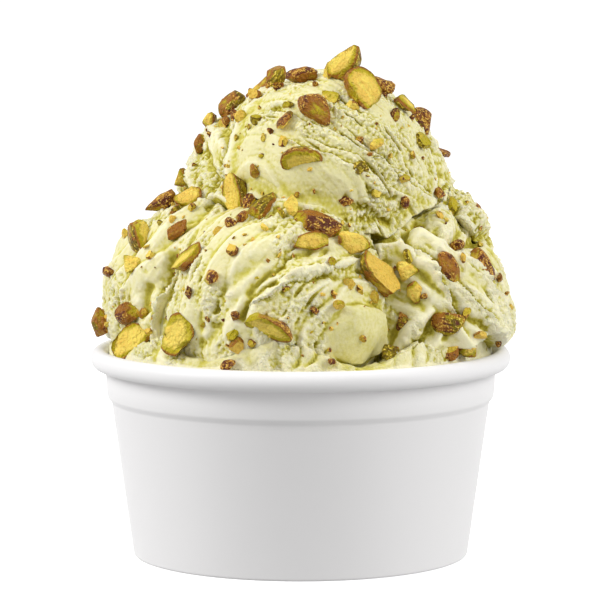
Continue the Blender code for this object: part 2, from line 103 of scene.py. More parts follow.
# Rings of points from the middle outwards: first and last radius, and how many
FILL_RINGS = ((0.5, 28.0, 5), (31.0, 38.0, 8), (38.4, 43.2, 16), (43.4, FILL_EDGE_RADIUS, 24))
SHOWN_RADII = (36.0, 40.0)  # the collar's relief fades in between these radii
SHOWN_HEIGHTS = (48.9, 50.4)  # and between these heights
TEAR_ACROSS = 3.4
PATCH_ACROSS = 7.0  # of crumbly gelato between smooth ones
CRUMB_SIZE = 0.95
CREASE_SPACING = 5.5
CREASE_WIDTH = 0.13  # as a share of the spacing
COLLAR_WAVE = 0.5  # how much the collar's height wavers between the directions below

# How far the torn collar stands above its crest height: direction in degrees, and height
COLLAR = (
    (-180, 1.5), (-165, 0.4), (-152, 0.6), (-146, 2.4), (-140, 4.2), (-134, 3.6), (-128, 1.0),
    (-121, -0.6), (-114, 1.4), (-108, 3.4), (-102, 4.6), (-98, 5.6), (-93, 4.6), (-88, 3.4),
    (-82, 1.6), (-77, -0.4), (-70, -1.4), (-64, -0.4), (-57, 2.0), (-50, 3.6), (-44, 1.2),
    (-37, 2.2), (-31, 4.6), (-25, 5.0), (-18, 2.4), (-8, 0.2), (10, 1.6), (28, 0.2), (45, 0.6),
    (60, 2.4), (74, 0.8), (95, 3.0), (108, 0.6), (125, 0.4), (140, 2.2), (158, 0.4), (180, 1.5),
)

# Scoops, as in the frame: centre and radius, the axis that the spade dragged them about, spacing
# and depth of the drag folds, depth of the lumps, how far the back is pressed in. Then the looks:
# how coarse the grain is, how far the foot flares, and the quads along a side of the ball's grid.
Scoop = namedtuple("Scoop", "centre radius drag pitch fold lump press grain skirt cells")
SCOOPS = {
    "scoop_top": Scoop(
        (7, -1, 90.4), 24.3, (-0.7, -0.5, -0.5), 9.0, 0.5, 0.6, 0.0, 0.40, 0.9, 128),
    "scoop_crown": Scoop(
        (5, 12, 82.5), 31.4, (0.2, 0.5, -0.8), 9.0, 0.9, 2.0, 6.0, 0.60, 0.3, 112),
    "scoop_front": Scoop(
        (-5, -16.5, 58.5), 27.2, (0.62, -0.77, -0.13), 6.5, 0.7, 0.7, 0.0, 0.30, 0.3, 132),
    "scoop_left": Scoop(
        (-21, 2, 60.0), 26.2, (0.45, -0.80, -0.40), 8.0, 0.9, 1.0, 0.0, 0.35, 0.5, 116),
    "scoop_right": Scoop(
        (23, -1, 56.0), 27.5, (-0.35, -0.80, -0.45), 7.5, 0.7, 0.7, 0.0, 0.25, 0.4, 132),
    "scoop_rear": Scoop(
        (2, 19, 58.0), 27.0, (0.3, 0.9, 0.4), 8.5, 0.8, 1.2, 0.0, 0.45, 0.5, 104),
    "scoop_shoulder": Scoop(
        (31, 4, 73.0), 13.8, (0.5, -0.6, 0.6), 6.0, 0.8, 2.0, 0.0, 1.00, 0.0, 64),
}
SEAM_WANDER = 1.3  # how far the seam between two scoops strays from its plane
HEART_ROOM = 0.25  # least distance from a scoop's heart to its seams, as a share of its radius
SEAM_OVERLAP = 0.12  # how far two scoops that were pressed together run into each other
UNDERCUT = 0.16  # how fast a scoop's underside rises beyond the tub's rim, per millimetre squared
SEAM_BLEND = 5.0  # how far from a seam two scoops swell to meet each other
HEART_STEPS = 6  # times that the heart is pushed clear of each seam
SEAT_HALVINGS = 14  # steps in which a scoop's foot is fitted to what it sits on
TORN_WIDTH = 1.3  # how far a torn edge stays crumbly
DRAG_WARP = 0.9  # how far a scoop's drag folds stray, as a share of their spacing
DRAG_RISE = 0.75  # share of a drag fold that rises; the rest of it falls
LUMPS_ACROSS = 1 / 3.1  # as a share of the scoop's radius, and so is the next
WARP_ACROSS = 1 / 1.7
GRAIN_WIDTH = 0.9  # of the fine streaks that the spade drew
GRAIN_LENGTH = 7.0
PIT_DEPTH = 1.3
FEW_ROUNDS, MANY_ROUNDS = (4, 16), (8, 40)  # rounds of evening out that fine and broad hollows take
DEEPEST_PAINTED_SHADE = 0.80  # the deepest painted shade that a scoop's hollows, seams and seat take
SMEAR_SHADE = 0.22  # the even painted shade on a smeared plate, which faces down, on the same scale as the shade in hollows
SHOWN_SHARE = 0.60  # share of a ball's facets kept: the flat, hidden ones go first

# Folds that stand out on the front of the scoops, as seen square on from the front: a ridge is a
# rope of gelato, a groove is a furrow, and a lip is a torn edge that stands proud on its left
# side, going from the first point to the last, and fades away from there.
Fold = namedtuple("Fold", "scoops kind height width points")
FOLDS = (
    Fold(("scoop_top",), "lip", -1.1, 5.0, ((4, 104), (13, 101), (20, 96), (27, 91), (30, 87))),
    Fold(("scoop_top",), "lip", -0.8, 4.0, ((-1, 100), (8, 97), (16, 93), (22, 89))),
    Fold(("scoop_top",), "ridge", 1.4, 3.5, ((3, 80), (12, 80), (22, 77), (28, 81), (31, 87))),
    Fold(("scoop_crown",), "ridge", 2.2, 6.0, ((-24, 98), (-27, 91), (-29, 84))),
    Fold(("scoop_front", "scoop_right"), "ridge", 2.4, 2.4,
         ((-5, 87), (3, 85), (12, 82), (20, 76), (30, 69), (36, 63), (39, 56))),
    Fold(("scoop_front",), "groove", 1.5, 1.8, ((-22, 55), (-17, 63), (-9, 70), (5, 76))),
    Fold(("scoop_front",), "groove", 1.2, 1.7, ((-23, 59), (-18, 67), (-11, 73), (0, 78))),
    Fold(("scoop_front",), "lip", 1.2, 4.0, ((-10, 65), (-3, 69), (9, 72))),
    Fold(("scoop_front",), "ridge", 1.3, 5.0, ((11, 60), (12.5, 57))),
    Fold(("scoop_left",), "lip", 1.8, 5.0, ((-16, 83), (-26, 74), (-32, 66), (-34, 56))),
    Fold(("scoop_left",), "groove", 1.3, 1.8, ((-35, 82), (-41, 71), (-43, 60))),
    Fold(("scoop_left",), "groove", 1.4, 1.8, ((-30, 69), (-37, 63), (-42, 53))),
    Fold(("scoop_right",), "ridge", 1.6, 2.2, ((16, 76), (22, 72), (28, 67), (33, 61), (38, 53))),
    Fold(("scoop_right",), "ridge", 1.7, 2.0, ((28, 76), (36, 69), (41, 62), (45, 53))),
    Fold(("scoop_right",), "ridge", 1.4, 1.9, ((38, 73), (43, 66), (46, 60), (48, 52))),
    Fold(("scoop_right",), "ridge", 1.8, 1.9, ((15, 46), (20, 52), (25, 57), (29, 61))),
    Fold(("scoop_right",), "ridge", 1.4, 1.9, ((23, 46), (29, 52), (33, 56))),
)

# Finer folds and tears, seen the same way. A plate is a round smear with a crisp right edge.
FINE_FOLDS = (
    Fold(("scoop_front",), "groove", 2.4, 0.9,
         ((-13.5, 61.5), (-12, 64.5), (-10.5, 66.5), (-8.5, 68), (-6, 69.5))),
    Fold(("scoop_front",), "groove", 1.5, 1.1, ((2, 76.5), (-3, 75), (-8, 71.5), (-12, 67))),
    Fold(("scoop_front",), "groove", 1.0, 0.8, ((8, 70.5), (2, 70.5), (-3, 69.5))),
    Fold(("scoop_front",), "lip", 0.6, 3.0,
         ((6, 73.5), (0, 72.5), (-5, 70.5), (-9, 67.5), (-12, 63.5))),
    Fold(("scoop_front",), "plate", 1.3, 6.5, ((12.6, 56.8), (12.6, 56.8))),
    Fold(("scoop_front",), "groove", 1.6, 1.6, ((19.5, 52), (16.5, 47))),
    Fold(("scoop_front",), "groove", 1.1, 1.3, ((10, 79), (17, 75), (22, 70))),
    Fold(("scoop_front", "scoop_right"), "lip", 2.6, 4.5,
         ((35, 59), (33.5, 62.4), (32.3, 65.9), (30.5, 69.4), (28.8, 71.8), (25.8, 73.4),
          (21.9, 76.9), (18.4, 79.4), (13.8, 81.8), (8, 84.5))),
    Fold(("scoop_right",), "groove", 1.6, 1.4, ((19, 75.5), (25, 71), (30, 66), (35, 60))),
    Fold(("scoop_front", "scoop_left"), "groove", 2.6, 1.9, ((-30, 73), (-30.5, 69), (-31.5, 65))),
    Fold(("scoop_left",), "lip", 1.2, 2.0,
         ((-22, 77), (-26, 74.5), (-29, 71.5), (-31, 66), (-34, 62))),
    Fold(("scoop_left",), "groove", 1.4, 1.2, ((-36, 66), (-37, 63.5), (-36.5, 60.5))),
    Fold(("scoop_right",), "lip", 1.7, 2.6,
         ((43.4, 53.1), (42.5, 57.1), (40.4, 60.8), (37.6, 63.6), (35.1, 65.9))),
    Fold(("scoop_right",), "lip", 2.6, 4.0,
         ((45.3, 53.6), (44.6, 58.3), (43.2, 62.4), (42, 66.2), (40.4, 69.5), (37.1, 72.1))),
    Fold(("scoop_right",), "lip", 1.8, 2.6, ((47, 53), (47, 59.5), (45.8, 62.6), (43, 65.5))),
    Fold(("scoop_right",), "ridge", 2.1, 2.6, ((21.6, 49), (23.6, 53), (25.4, 57), (26.4, 59))),
    Fold(("scoop_right",), "ridge", 1.6, 1.8, ((25, 49), (28.4, 52.6), (31.2, 55))),
    Fold(("scoop_right",), "groove", 1.4, 0.9, ((26.5, 53.5), (28.8, 57), (30.5, 60))),
    Fold(("scoop_right",), "ridge", 2.6, 3.4, ((36, 51.5), (38.5, 53))),
    Fold(("scoop_right",), "groove", 1.6, 0.9,
         ((32.5, 55), (34, 57.8), (37, 59.3), (40.5, 57), (43, 53.5))),
    Fold(("scoop_right",), "groove", 1.6, 0.9, ((20.4, 51), (21.5, 55), (23.6, 59))),
    Fold(("scoop_right",), "groove", 1.0, 1.0, ((30, 62), (34, 60), (38, 55))),
    Fold(("scoop_right",), "ridge", 2.4, 3.2, ((28, 75.5), (30.5, 74))),
    Fold(("scoop_right",), "groove", 1.8, 1.0, ((24.5, 77.5), (25, 74.5), (27, 72), (31, 70.8))),
    Fold(("scoop_right", "scoop_shoulder"), "ridge", 2.2, 2.8, ((32, 80.5), (33.5, 78.5))),
    Fold(("scoop_right", "scoop_shoulder"), "groove", 2.2, 1.1,
         ((27, 79.5), (30, 77.5), (33, 76), (35, 74.5))),
    Fold(("scoop_shoulder",), "ridge", 1.8, 4.0, ((38.5, 80.5), (41, 78.5))),
    Fold(("scoop_shoulder",), "groove", 2.4, 1.1, ((35.5, 83), (36, 79.5), (36.5, 77))),
    Fold(("scoop_shoulder", "scoop_right"), "groove", 2.8, 1.4, ((36.5, 77), (39, 75.8), (43, 76))),
    Fold(("scoop_top",), "lip", -1.0, 1.6,
         ((7.5, 103), (10.5, 101.5), (14, 99), (20, 95.5), (23.5, 92.5), (29, 87))),
    Fold(("scoop_top",), "lip", -0.7, 1.4, ((3.5, 101), (7, 99.5), (11.5, 98), (16.5, 95), (20, 91.5))),
    Fold(("scoop_top",), "groove", 1.3, 0.9, ((10.5, 87), (13, 85), (15, 85), (17, 83), (20, 81))),
    Fold(("scoop_top",), "groove", 1.0, 0.8, ((15.5, 89), (18.5, 87.5), (22, 86.5))),
    Fold(("scoop_top",), "groove", 0.9, 1.2, ((24, 102), (25.5, 98.5), (26, 95))),
    Fold(("scoop_crown",), "groove", 1.8, 1.3, ((30, 98), (32, 93), (33, 88))),
    Fold(("scoop_crown",), "groove", 1.4, 1.2, ((-17.5, 101), (-16, 96), (-17, 91))),
    Fold(("scoop_crown",), "groove", 1.3, 1.1, ((-22, 95), (-20, 90), (-21, 86))),
)

# Places that the spade left smooth: across, height, half width, half height
Smooth = namedtuple("Smooth", "scoop across height half_width half_height")
SMOOTHED = (
    Smooth("scoop_top", -6, 94, 13, 11),
    Smooth("scoop_top", 6, 91, 11, 6),
    Smooth("scoop_front", 12, 56, 7, 9),
    Smooth("scoop_front", -14, 75, 9, 9),
    Smooth("scoop_left", -34, 68, 8, 14),
    Smooth("scoop_right", 25, 67, 6, 7),
    Smooth("scoop_right", 29, 75, 3, 3),
    Smooth("scoop_right", 38.5, 65, 3.0, 7),
    Smooth("scoop_right", 22.5, 54, 3.2, 6),
    Smooth("scoop_right", 37, 54, 4.5, 4),
    Smooth("scoop_right", 45, 60, 2.2, 6),
)

# Pistachio tones by node: how purple the skin is, and how tan the cut flesh
NUT_TONES = {
    1: (0.25, 0.45), 2: (0.90, 0.60), 3: (0.75, 0.30), 4: (0.50, 0.10), 5: (0.30, 0.50),
    6: (0.75, 0.70), 7: (0.35, 0.50), 8: (0.60, 0.40), 9: (0.30, 0.40), 10: (0.70, 0.40),
    11: (0.60, 0.60), 12: (0.50, 0.50), 13: (0.40, 0.50), 14: (0.20, 0.50), 15: (0.15, 0.30),
    16: (0.95, 0.50), 17: (0.80, 0.60), 18: (0.30, 0.50), 19: (0.15, 0.95), 20: (0.70, 0.50),
    21: (0.30, 0.60), 22: (0.20, 0.30), 23: (0.60, 0.50), 24: (0.30, 0.50), 25: (0.55, 0.20),
    26: (0.95, 0.40), 27: (0.10, 0.40), 28: (0.10, 0.25), 29: (0.50, 0.50), 30: (0.80, 0.05),
    31: (0.45, 0.30), 32: (0.70, 0.50), 33: (0.60, 0.40), 34: (0.80, 0.85), 35: (0.05, 0.50),
    36: (0.10, 0.60), 37: (0.50, 0.50),
}

# Chopped bits on the front, by what they're cut from: across, height and size of each
CHIPS = {
    "flesh": (
        (7, 114.5, 4.5), (-11, 109.5, 3.6), (-3.5, 104.5, 4), (12, 108, 3.3), (26, 96.5, 2),
        (-7, 102, 1.6), (-8.5, 100.5, 1.6), (17.5, 99.5, 3.4), (-14, 104.5, 3), (-2, 85.5, 4.5),
        (-8.5, 81, 2.2), (-35, 72.5, 2.6), (-41.5, 76.5, 2.4), (-30, 81, 2), (-19, 79.5, 2.8),
        (8.5, 64, 3.2), (-35, 56, 2), (11, 68.5, 2.6), (16.5, 65, 3), (34, 81, 1.4),
    ),
    "skin": (
        (-5, 111.5, 3), (3.5, 112.5, 1.6), (22, 105.5, 2.6), (23, 108, 2.2), (19.5, 110, 2),
        (34, 95, 3.4), (-4, 100, 3), (-9, 96.5, 1.2), (24, 86, 2.6), (10.5, 87, 3.6), (3, 89, 1.2),
        (-12, 102.5, 1.4), (-21.5, 100, 1.6), (-15.5, 104.5, 2.6), (32.5, 86.5, 3),
        (-16, 81.5, 3), (7, 73.5, 2.8), (-25.5, 66, 2.6), (-45, 68, 3.6), (-25.5, 83.5, 2.4),
        (-15, 61.5, 2.8), (3.5, 62.5, 2.2), (6.5, 54, 1.4), (13.5, 67, 2), (38.5, 61, 2.4),
        (46.5, 52.5, 2), (28.5, 65, 2), (36.5, 75, 4), (46.5, 67.5, 2.4),
    ),
    "green": (
        (7, 110, 3.8), (-3, 108, 2.6), (28, 99.5, 4.2), (14, 94, 3.6), (-10, 104.5, 2.6),
        (-15, 100, 1.6), (36, 83, 4), (17.5, 88.5, 2.4), (-4.5, 84, 2), (-33, 80, 1.6),
        (-29.5, 83, 3.2), (-15.5, 57.5, 2.6), (21, 52.5, 4.4), (25, 74, 2.8), (42.5, 74.5, 1.8),
    ),
    "toasted": (
        (2.5, 114, 3.5), (26, 104.5, 2), (-10.5, 93, 3), (13.5, 100.5, 2.4), (24, 91, 2.8),
        (-18, 102.5, 3.6), (32.5, 82, 2), (-12, 85, 3.6), (-13.5, 82.5, 3.4), (-15.5, 76, 3.8),
        (-20.5, 69.5, 4), (-36.5, 59.5, 2.6), (-22, 59, 1.4), (-14.5, 55, 3.4), (-11, 55.5, 2),
        (-16.5, 50.5, 2.8), (7, 51.5, 2.4), (7.5, 66.5, 1.6), (14, 56.5, 1.8), (34.5, 51.5, 3.9),
        (41.5, 55.5, 2.8), (37.5, 73, 2),
    ),
}
REAR_CHIPS = 26  # of each kind, behind
REAR_ACROSS, REAR_HEIGHTS, REAR_SIZES = (-42, 44), (54, 112), (1.4, 4.2)
REAR_START = 4.0  # chips dropped from behind lie beyond this, towards the rear
CRUMB_TRIES = 520  # directions in which a crumb is dropped; about 360 of them land
CRUMB_SIZES = (0.5, 1.4)
CRUMBS_ABOVE = 51.0  # the tub's rim stays clean below this
CRUMBS_FROM = (0, 0, 68)  # the place inside the gelato that crumbs are dropped towards
FAR_OUT = 90.0  # a distance that's outside the gelato all round

# --- Finishes ------------------------------------------------------------------------------------


class Number:
    """A socket that Python's own arithmetic works on."""

    def __init__(self, nodes, socket):
        self.nodes = nodes
        self.socket = socket

    def maths(self, operation, *values):
        return self.nodes.node("ShaderNodeMath", {"operation": operation}, dict(enumerate(values)))

    def __add__(self, other):
        return self.maths("ADD", self, other)

    __radd__ = __add__

    def __mul__(self, other):
        return self.maths("MULTIPLY", self, other)

    __rmul__ = __mul__

    def __sub__(self, other):
        return self.maths("SUBTRACT", self, other)

    def __rsub__(self, other):
        return self.maths("SUBTRACT", other, self)

    def step(self, low, high):
        """0 below low, 1 above high, and smooth between them."""
        return self.nodes.node(
            "ShaderNodeMapRange",
            {"interpolation_type": "SMOOTHSTEP"},
            {"Value": self, "From Min": low, "From Max": high},
        )


class Nodes:
    """The nodes of a material or of the surround."""

    def __init__(self, tree):
        self.tree = tree

    def node(self, kind, settings, values, out=0):
        """A node of this kind: its settings first, then the values or links of its sockets."""
        made = self.tree.nodes.new(kind)
        for setting, value in settings.items():
            setattr(made, setting, value)
        for socket, value in values.items():
            if isinstance(value, Number):
                self.tree.links.new(value.socket, made.inputs[socket])
            else:
                made.inputs[socket].default_value = value
        return Number(self, made.outputs[out])


class Finish(Nodes):
    """A material and the nodes that make it."""

    def __init__(self, name, **constants):
        self.material = bpy.data.materials.new(name)
        self.material.use_nodes = True
        super().__init__(self.material.node_tree)
        self.shader = self.tree.nodes["Principled BSDF"]
        for socket, value in constants.items():
            self.shader.inputs[socket.replace("_", " ")].default_value = value

    def attribute(self, name, out="Fac"):
        """What a mesh holds at each point under this name."""
        return self.node("ShaderNodeAttribute", {"attribute_name": name}, {}, out)

    def place(self):
        """Where each point is, in metres."""
        return self.node("ShaderNodeTexCoord", {}, {}, "Object")

    def grain(self, size, detail=2.0, vector=None):
        """Soft noise between 0 and 1, with features about size across, in metres."""
        values = {"Scale": 1.0 / size, "Detail": detail, "Vector": vector or self.place()}
        return self.node("ShaderNodeTexNoise", {"normalize": True}, values, "Fac")

    def cells(self, size, vector=None):
        """Distance to the middle of the nearest of many small cells, 0 to about 1."""
        values = {"Scale": 1.0 / size, "Vector": vector or self.place()}
        return self.node("ShaderNodeTexVoronoi", {}, values, "Distance")

    def swayed(self, size, amount):
        """The place of each point, strayed a little at random."""
        values = {"Scale": 1.0 / size, "Detail": 1.0, "Vector": self.place()}
        drift = self.node("ShaderNodeTexNoise", {"normalize": False}, values, "Color")
        strayed = {0: drift, 1: (amount, amount, amount), 2: self.place()}
        return self.node("ShaderNodeVectorMath", {"operation": "MULTIPLY_ADD"}, strayed)

    def mix(self, share, first, second):
        """The first colour where share is 0, and the second where it's 1."""
        colours = [c if isinstance(c, Number) else (*c, 1.0) for c in (first, second)]
        values = {0: share, 6: colours[0], 7: colours[1]}
        return self.node("ShaderNodeMix", {"data_type": "RGBA"}, values, 2)

    def bump(self, height, depth):
        """Relief of this depth in metres."""
        values = {"Height": height, "Distance": depth, "Strength": 1.0}
        return self.node("ShaderNodeBump", {}, values)

    def use(self, **sockets):
        """Links values to the shader, and gives the finished material."""
        for socket, value in sockets.items():
            self.tree.links.new(value.socket, self.shader.inputs[socket.replace("_", " ")])
        return self.material


# Gelato tones: a painted highlight where it stands proud, its own cream, and painted shade down to its
# deepest hollows
PROUD_HIGHLIGHT = (0.845, 0.80, 0.53)
CREAM = (0.755, 0.705, 0.365)
HALF_SHADE = (0.615, 0.558, 0.105)
DEEP_SHADE = (0.32, 0.252, 0.003)
CRUMB_ACROSS = 0.85 * MM
FINE_CRUMB_ACROSS = 0.45 * MM
CRUMB_RELIEF = 0.42 * MM
WIDE_PATCH_ACROSS = 4.0 * MM
SMALL_PATCH_ACROSS = 0.8 * MM


def gelato_finish():
    """Pale churned gelato: cream, with a painted highlight where it stands proud, and painted
    green-gold shade in its hollows.
    """
    finish = Finish(
        "churned gelato", Roughness=0.60, Specular_IOR_Level=0.15, Coat_Roughness=0.60,
        Subsurface_Weight=0.30, Subsurface_Scale=0.9 * MM, Subsurface_Radius=(1.0, 0.85, 0.35),
    )
    crumbly = finish.attribute("crumbly")
    swayed = finish.swayed(0.7 * MM, 0.3 * MM)
    crumbs = finish.cells(CRUMB_ACROSS, swayed)
    fine = finish.cells(FINE_CRUMB_ACROSS, swayed)
    wide, small = finish.grain(WIDE_PATCH_ACROSS), finish.grain(SMALL_PATCH_ACROSS)
    # painted shade held in the mesh's attribute, with random mottling, sets how deep the tone is
    depth = finish.attribute("hollow") + 0.3 * (wide - 0.5) + 0.45 * (small - 0.5)
    # crumb middles get a painted highlight, and their edges painted shade
    depth = depth + crumbly * (crumbs - 0.45)
    # painted highlight, the cream, then painted half shade and deep shade, from proud to hollow
    light = finish.mix(depth.step(-0.45, 0.05), PROUD_HIGHLIGHT, CREAM)
    pale = finish.mix(depth.step(0.05, 0.55), light, HALF_SHADE)
    colour = finish.mix(depth.step(0.45, 1.05), pale, DEEP_SHADE)
    height = 1.0 - crumbs * (0.15 + crumbly) - fine * (0.10 + 0.4 * crumbly)
    frost = 1.0 - depth.step(-0.1, 0.6)
    return finish.use(
        Base_Color=colour, Coat_Weight=frost, Normal=finish.bump(height, CRUMB_RELIEF)
    )


# Pistachio skin and flesh
GREEN_SKIN = (0.38, 0.28, 0.005)
DARK_SKIN = (0.15, 0.095, 0.002)
PURPLE_SKIN = (0.12, 0.028, 0.010)
RUSSET = (0.35, 0.135, 0.014)
ROASTED_AND_GLINT = (0.74, 0.46, 0.08)
GREEN_FLESH = (0.50, 0.40, 0.008)
YELLOW_FLESH = (0.92, 0.70, 0.12)
TAN_FLESH = (0.84, 0.56, 0.09)


def pistachio_finish():
    """Split pistachios: papery skin in greens and purples, and streaky yellow flesh where cut."""
    finish = Finish(
        "roasted pistachio", Roughness=0.34, Specular_IOR_Level=0.2, Subsurface_Weight=0.05,
        Subsurface_Scale=0.6 * MM,
    )
    inward = finish.attribute("inward")
    purple = finish.attribute("purple")
    tan = finish.attribute("tan")
    along = finish.attribute("along_nut", "Vector")
    patches = finish.grain(2.8 * MM, 3.0)
    flecks = finish.grain(0.8 * MM, 2.0, along)
    specks = finish.grain(0.45 * MM, 1.0)
    greens = finish.mix(flecks.step(0.40, 0.60), DARK_SKIN, GREEN_SKIN)
    # yellow specks on the green skin: partly flesh showing, partly painted glints
    greens = finish.mix((specks + 0.5 * flecks).step(0.84, 0.96), greens, YELLOW_FLESH)
    purples = finish.mix((0.6 * flecks + 0.4 * patches).step(0.44, 0.58), PURPLE_SKIN, RUSSET)
    # roasted specks on the purple skin, partly painted glints
    purples = finish.mix((specks + 0.5 * flecks).step(0.78, 0.90), purples, ROASTED_AND_GLINT)
    skin = finish.mix((patches + 0.55 * (purple - 0.5)).step(0.40, 0.50), greens, purples)
    streaks = finish.grain(1.4 * MM, 3.0, along)
    yellow = finish.mix((streaks + 0.7 * (tan - 0.5)).step(0.36, 0.64), YELLOW_FLESH, TAN_FLESH)
    edge = inward + 2.4 * (patches - 0.5) - 1.1 * (0.75 - tan)
    flesh = finish.mix(edge.step(0.25, 1.15), GREEN_FLESH, yellow)
    rimmed = finish.mix((inward + 0.9 * (flecks - 0.5)).step(0.16, 0.60), RUSSET, flesh)
    colour = finish.mix((inward + 0.7 * (flecks - 0.5)).step(-0.1, 0.06), skin, rimmed)
    rough = finish.bump(streaks + 0.8 * specks + 0.7 * finish.cells(0.9 * MM), 0.6 * MM)
    return finish.use(Base_Color=colour, Normal=rough)


def tub_finish():
    """White coated board: nearly smooth, with the faintest unevenness."""
    finish = Finish("white tub board", Base_Color=(0.84, 0.83, 0.83, 1.0), Specular_IOR_Level=0.3)
    uneven = finish.grain(6.0 * MM)
    fibres = finish.grain(0.9 * MM)
    relief = finish.bump(uneven + 0.15 * fibres, 0.04 * MM)
    return finish.use(Roughness=0.42 + 0.10 * uneven, Normal=relief)


def floor_finish():
    """Plain pale studio floor, bright enough to meet the surround without a line."""
    return Finish(
        "pale floor", Base_Color=(0.6, 0.6, 0.6, 1.0), Roughness=0.8,
        Emission_Color=(1.0, 1.0, 1.0, 1.0), Emission_Strength=0.72,
    ).material


# --- Making meshes -------------------------------------------------------------------------------


def stand(name, data):
    """Puts a light, a camera or a mesh into the scene."""
    made = bpy.data.objects.new(name, data)
    bpy.context.scene.collection.objects.link(made)
    return made


def piece(name, points, faces, finish, replaced=(), attributes=None):
    """A piece that rides on the cup, from points in millimetres."""
    mesh = bpy.data.meshes.new(name)
    mesh.from_pydata((np.asarray(points) * MM).tolist(), [], faces)
    for attribute, values in (attributes or {}).items():
        values = np.asarray(values, np.float32)
        kind = "FLOAT" if values.ndim == 1 else "FLOAT_VECTOR"
        layer = mesh.attributes.new(attribute, kind, "POINT")
        layer.data.foreach_set("value" if values.ndim == 1 else "vector", values.ravel())
    mesh.materials.append(finish)
    mesh.shade_smooth()
    made = stand(name, mesh)
    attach(made, "root")
    if replaced:
        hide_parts(*replaced)
    return made


def sampled(points, size, shift=(0.0, 0.0, 0.0), basis="PERLIN_ORIGINAL"):
    """Noise at each point, about -1 to 1, with features about size across."""
    places = map(Vector, (np.asarray(points) / size + np.asarray(shift)).tolist())
    return np.array([noise.noise(place, noise_basis=basis) for place in places])


def strayed(points, size, shift):
    """A small wandering vector at each point, about 1 long at most."""
    places = map(Vector, (np.asarray(points) / size + np.asarray(shift)).tolist())
    return np.array([tuple(noise.noise_vector(place)) for place in places])


def bell(distance, width):
    """1 at no distance, and near 0 from twice the width on."""
    return np.exp(-((distance / width) ** 2))


def smooth_step(values, low, high):
    """0 below low, 1 above high, and smooth between them."""
    share = np.clip((values - low) / (high - low), 0.0, 1.0)
    return share * share * (3.0 - 2.0 * share)


def ball_grid(cells):
    """Directions spread evenly over a ball, and their quads, from a cube's six gridded sides."""
    steps = np.tan(np.linspace(-math.pi / 4, math.pi / 4, cells + 1))
    across, up = np.meshgrid(steps, steps, indexing="ij")
    flat = np.stack([across.ravel(), up.ravel(), np.ones(across.size)], axis=1)
    row = np.arange(cells)
    corner = (row[:, None] * (cells + 1) + row[None, :]).ravel()
    quads = np.stack([corner, corner + cells + 1, corner + cells + 2, corner + 1], axis=1)
    sides, faces = [], []
    for axis in range(3):
        side = np.roll(flat, axis, axis=1)
        for sign, order in ((1, quads), (-1, quads[:, ::-1])):
            faces.append(order + len(flat) * len(sides))
            sides.append(sign * side)
    points = np.concatenate(sides)
    points /= np.linalg.norm(points, axis=1, keepdims=True)
    keys = np.round(points * 1e5).astype(np.int64)
    _, first, merged = np.unique(keys, axis=0, return_index=True, return_inverse=True)
    return points[first], merged.reshape(-1)[np.concatenate(faces)]


def hollowness(points, quads, outward, rounds):
    """How far each point lies below its surroundings, in millimetres, at each size of them."""
    starts, ends = quads.ravel(), np.roll(quads, -1, axis=1).ravel()
    here, there = np.concatenate([starts, ends]), np.concatenate([ends, starts])
    share = 1.0 / np.bincount(here)
    even, found = points, []
    for count in range(max(rounds)):
        even = np.stack([np.bincount(here, even[there, k]) * share for k in range(3)], axis=1)
        if count + 1 in rounds:
            below = ((even - points) * outward).sum(axis=1)
            found.append(below - np.median(below))
    return found


def turned_faces(rings, steps):
    """Quads between rings of points, and caps round the two middle points that follow them."""
    step = np.arange(steps)
    after = (step + 1) % steps
    quads = np.concatenate([
        np.stack([low + step, low + steps + step, low + steps + after, low + after], axis=1)
        for low in range(0, (rings - 1) * steps, steps)
    ])
    last = (rings - 1) * steps
    pairs = list(zip(step.tolist(), after.tolist()))
    caps = [(last + steps, a, b) for a, b in pairs]
    caps += [(last + steps + 1, last + b, last + a) for a, b in pairs]
    return quads, caps


def with_modifiers(made):
    """An object's mesh with its modifiers applied."""
    bpy.context.view_layer.update()
    return bpy.data.meshes.new_from_object(
        made.evaluated_get(bpy.context.evaluated_depsgraph_get())
    )


def thin_out(made, share):
    """Drops the facets that matter least, down to this share of them."""
    made.modifiers.new("thin", "DECIMATE").ratio = share
    mesh = with_modifiers(made)
    made.modifiers.clear()
    made.data = mesh


def read_out(items, name, width, kind=float):
    """A value of each vertex or face, as rows."""
    values = np.zeros(len(items) * width, kind)
    items.foreach_get(name, values)
    return values.reshape(-1, width)


# --- Gelato --------------------------------------------------------------------------------------


def tuft_height(around):
    """How far the ragged collar stands up in each direction, in degrees round the tub."""
    turn = np.radians(around)
    ring = np.stack([3.1 * np.cos(turn), 3.1 * np.sin(turn), np.full(turn.shape, 4.0)], axis=1)
    directions, heights = np.array(COLLAR).T
    return COLLAR_WAVE * sampled(ring, 0.6) + np.interp(around, directions, heights)


def collar_top(radius, crest):
    """Height of the gelato in the tub: a mound, a collar that rises to its crest, its edge."""
    rise = smooth_step(radius, MOUND_RADIUS, CREST_RADIUS - LEDGE_WIDTH)
    fall = np.clip((radius - CREST_RADIUS) / (FILL_EDGE_RADIUS - CREST_RADIUS), 0.0, 1.0)
    inside = MOUND_HEIGHT + (crest - MOUND_HEIGHT) * rise
    return np.where(radius <= CREST_RADIUS, inside, crest + (FILL_EDGE_HEIGHT - crest) * fall**2)


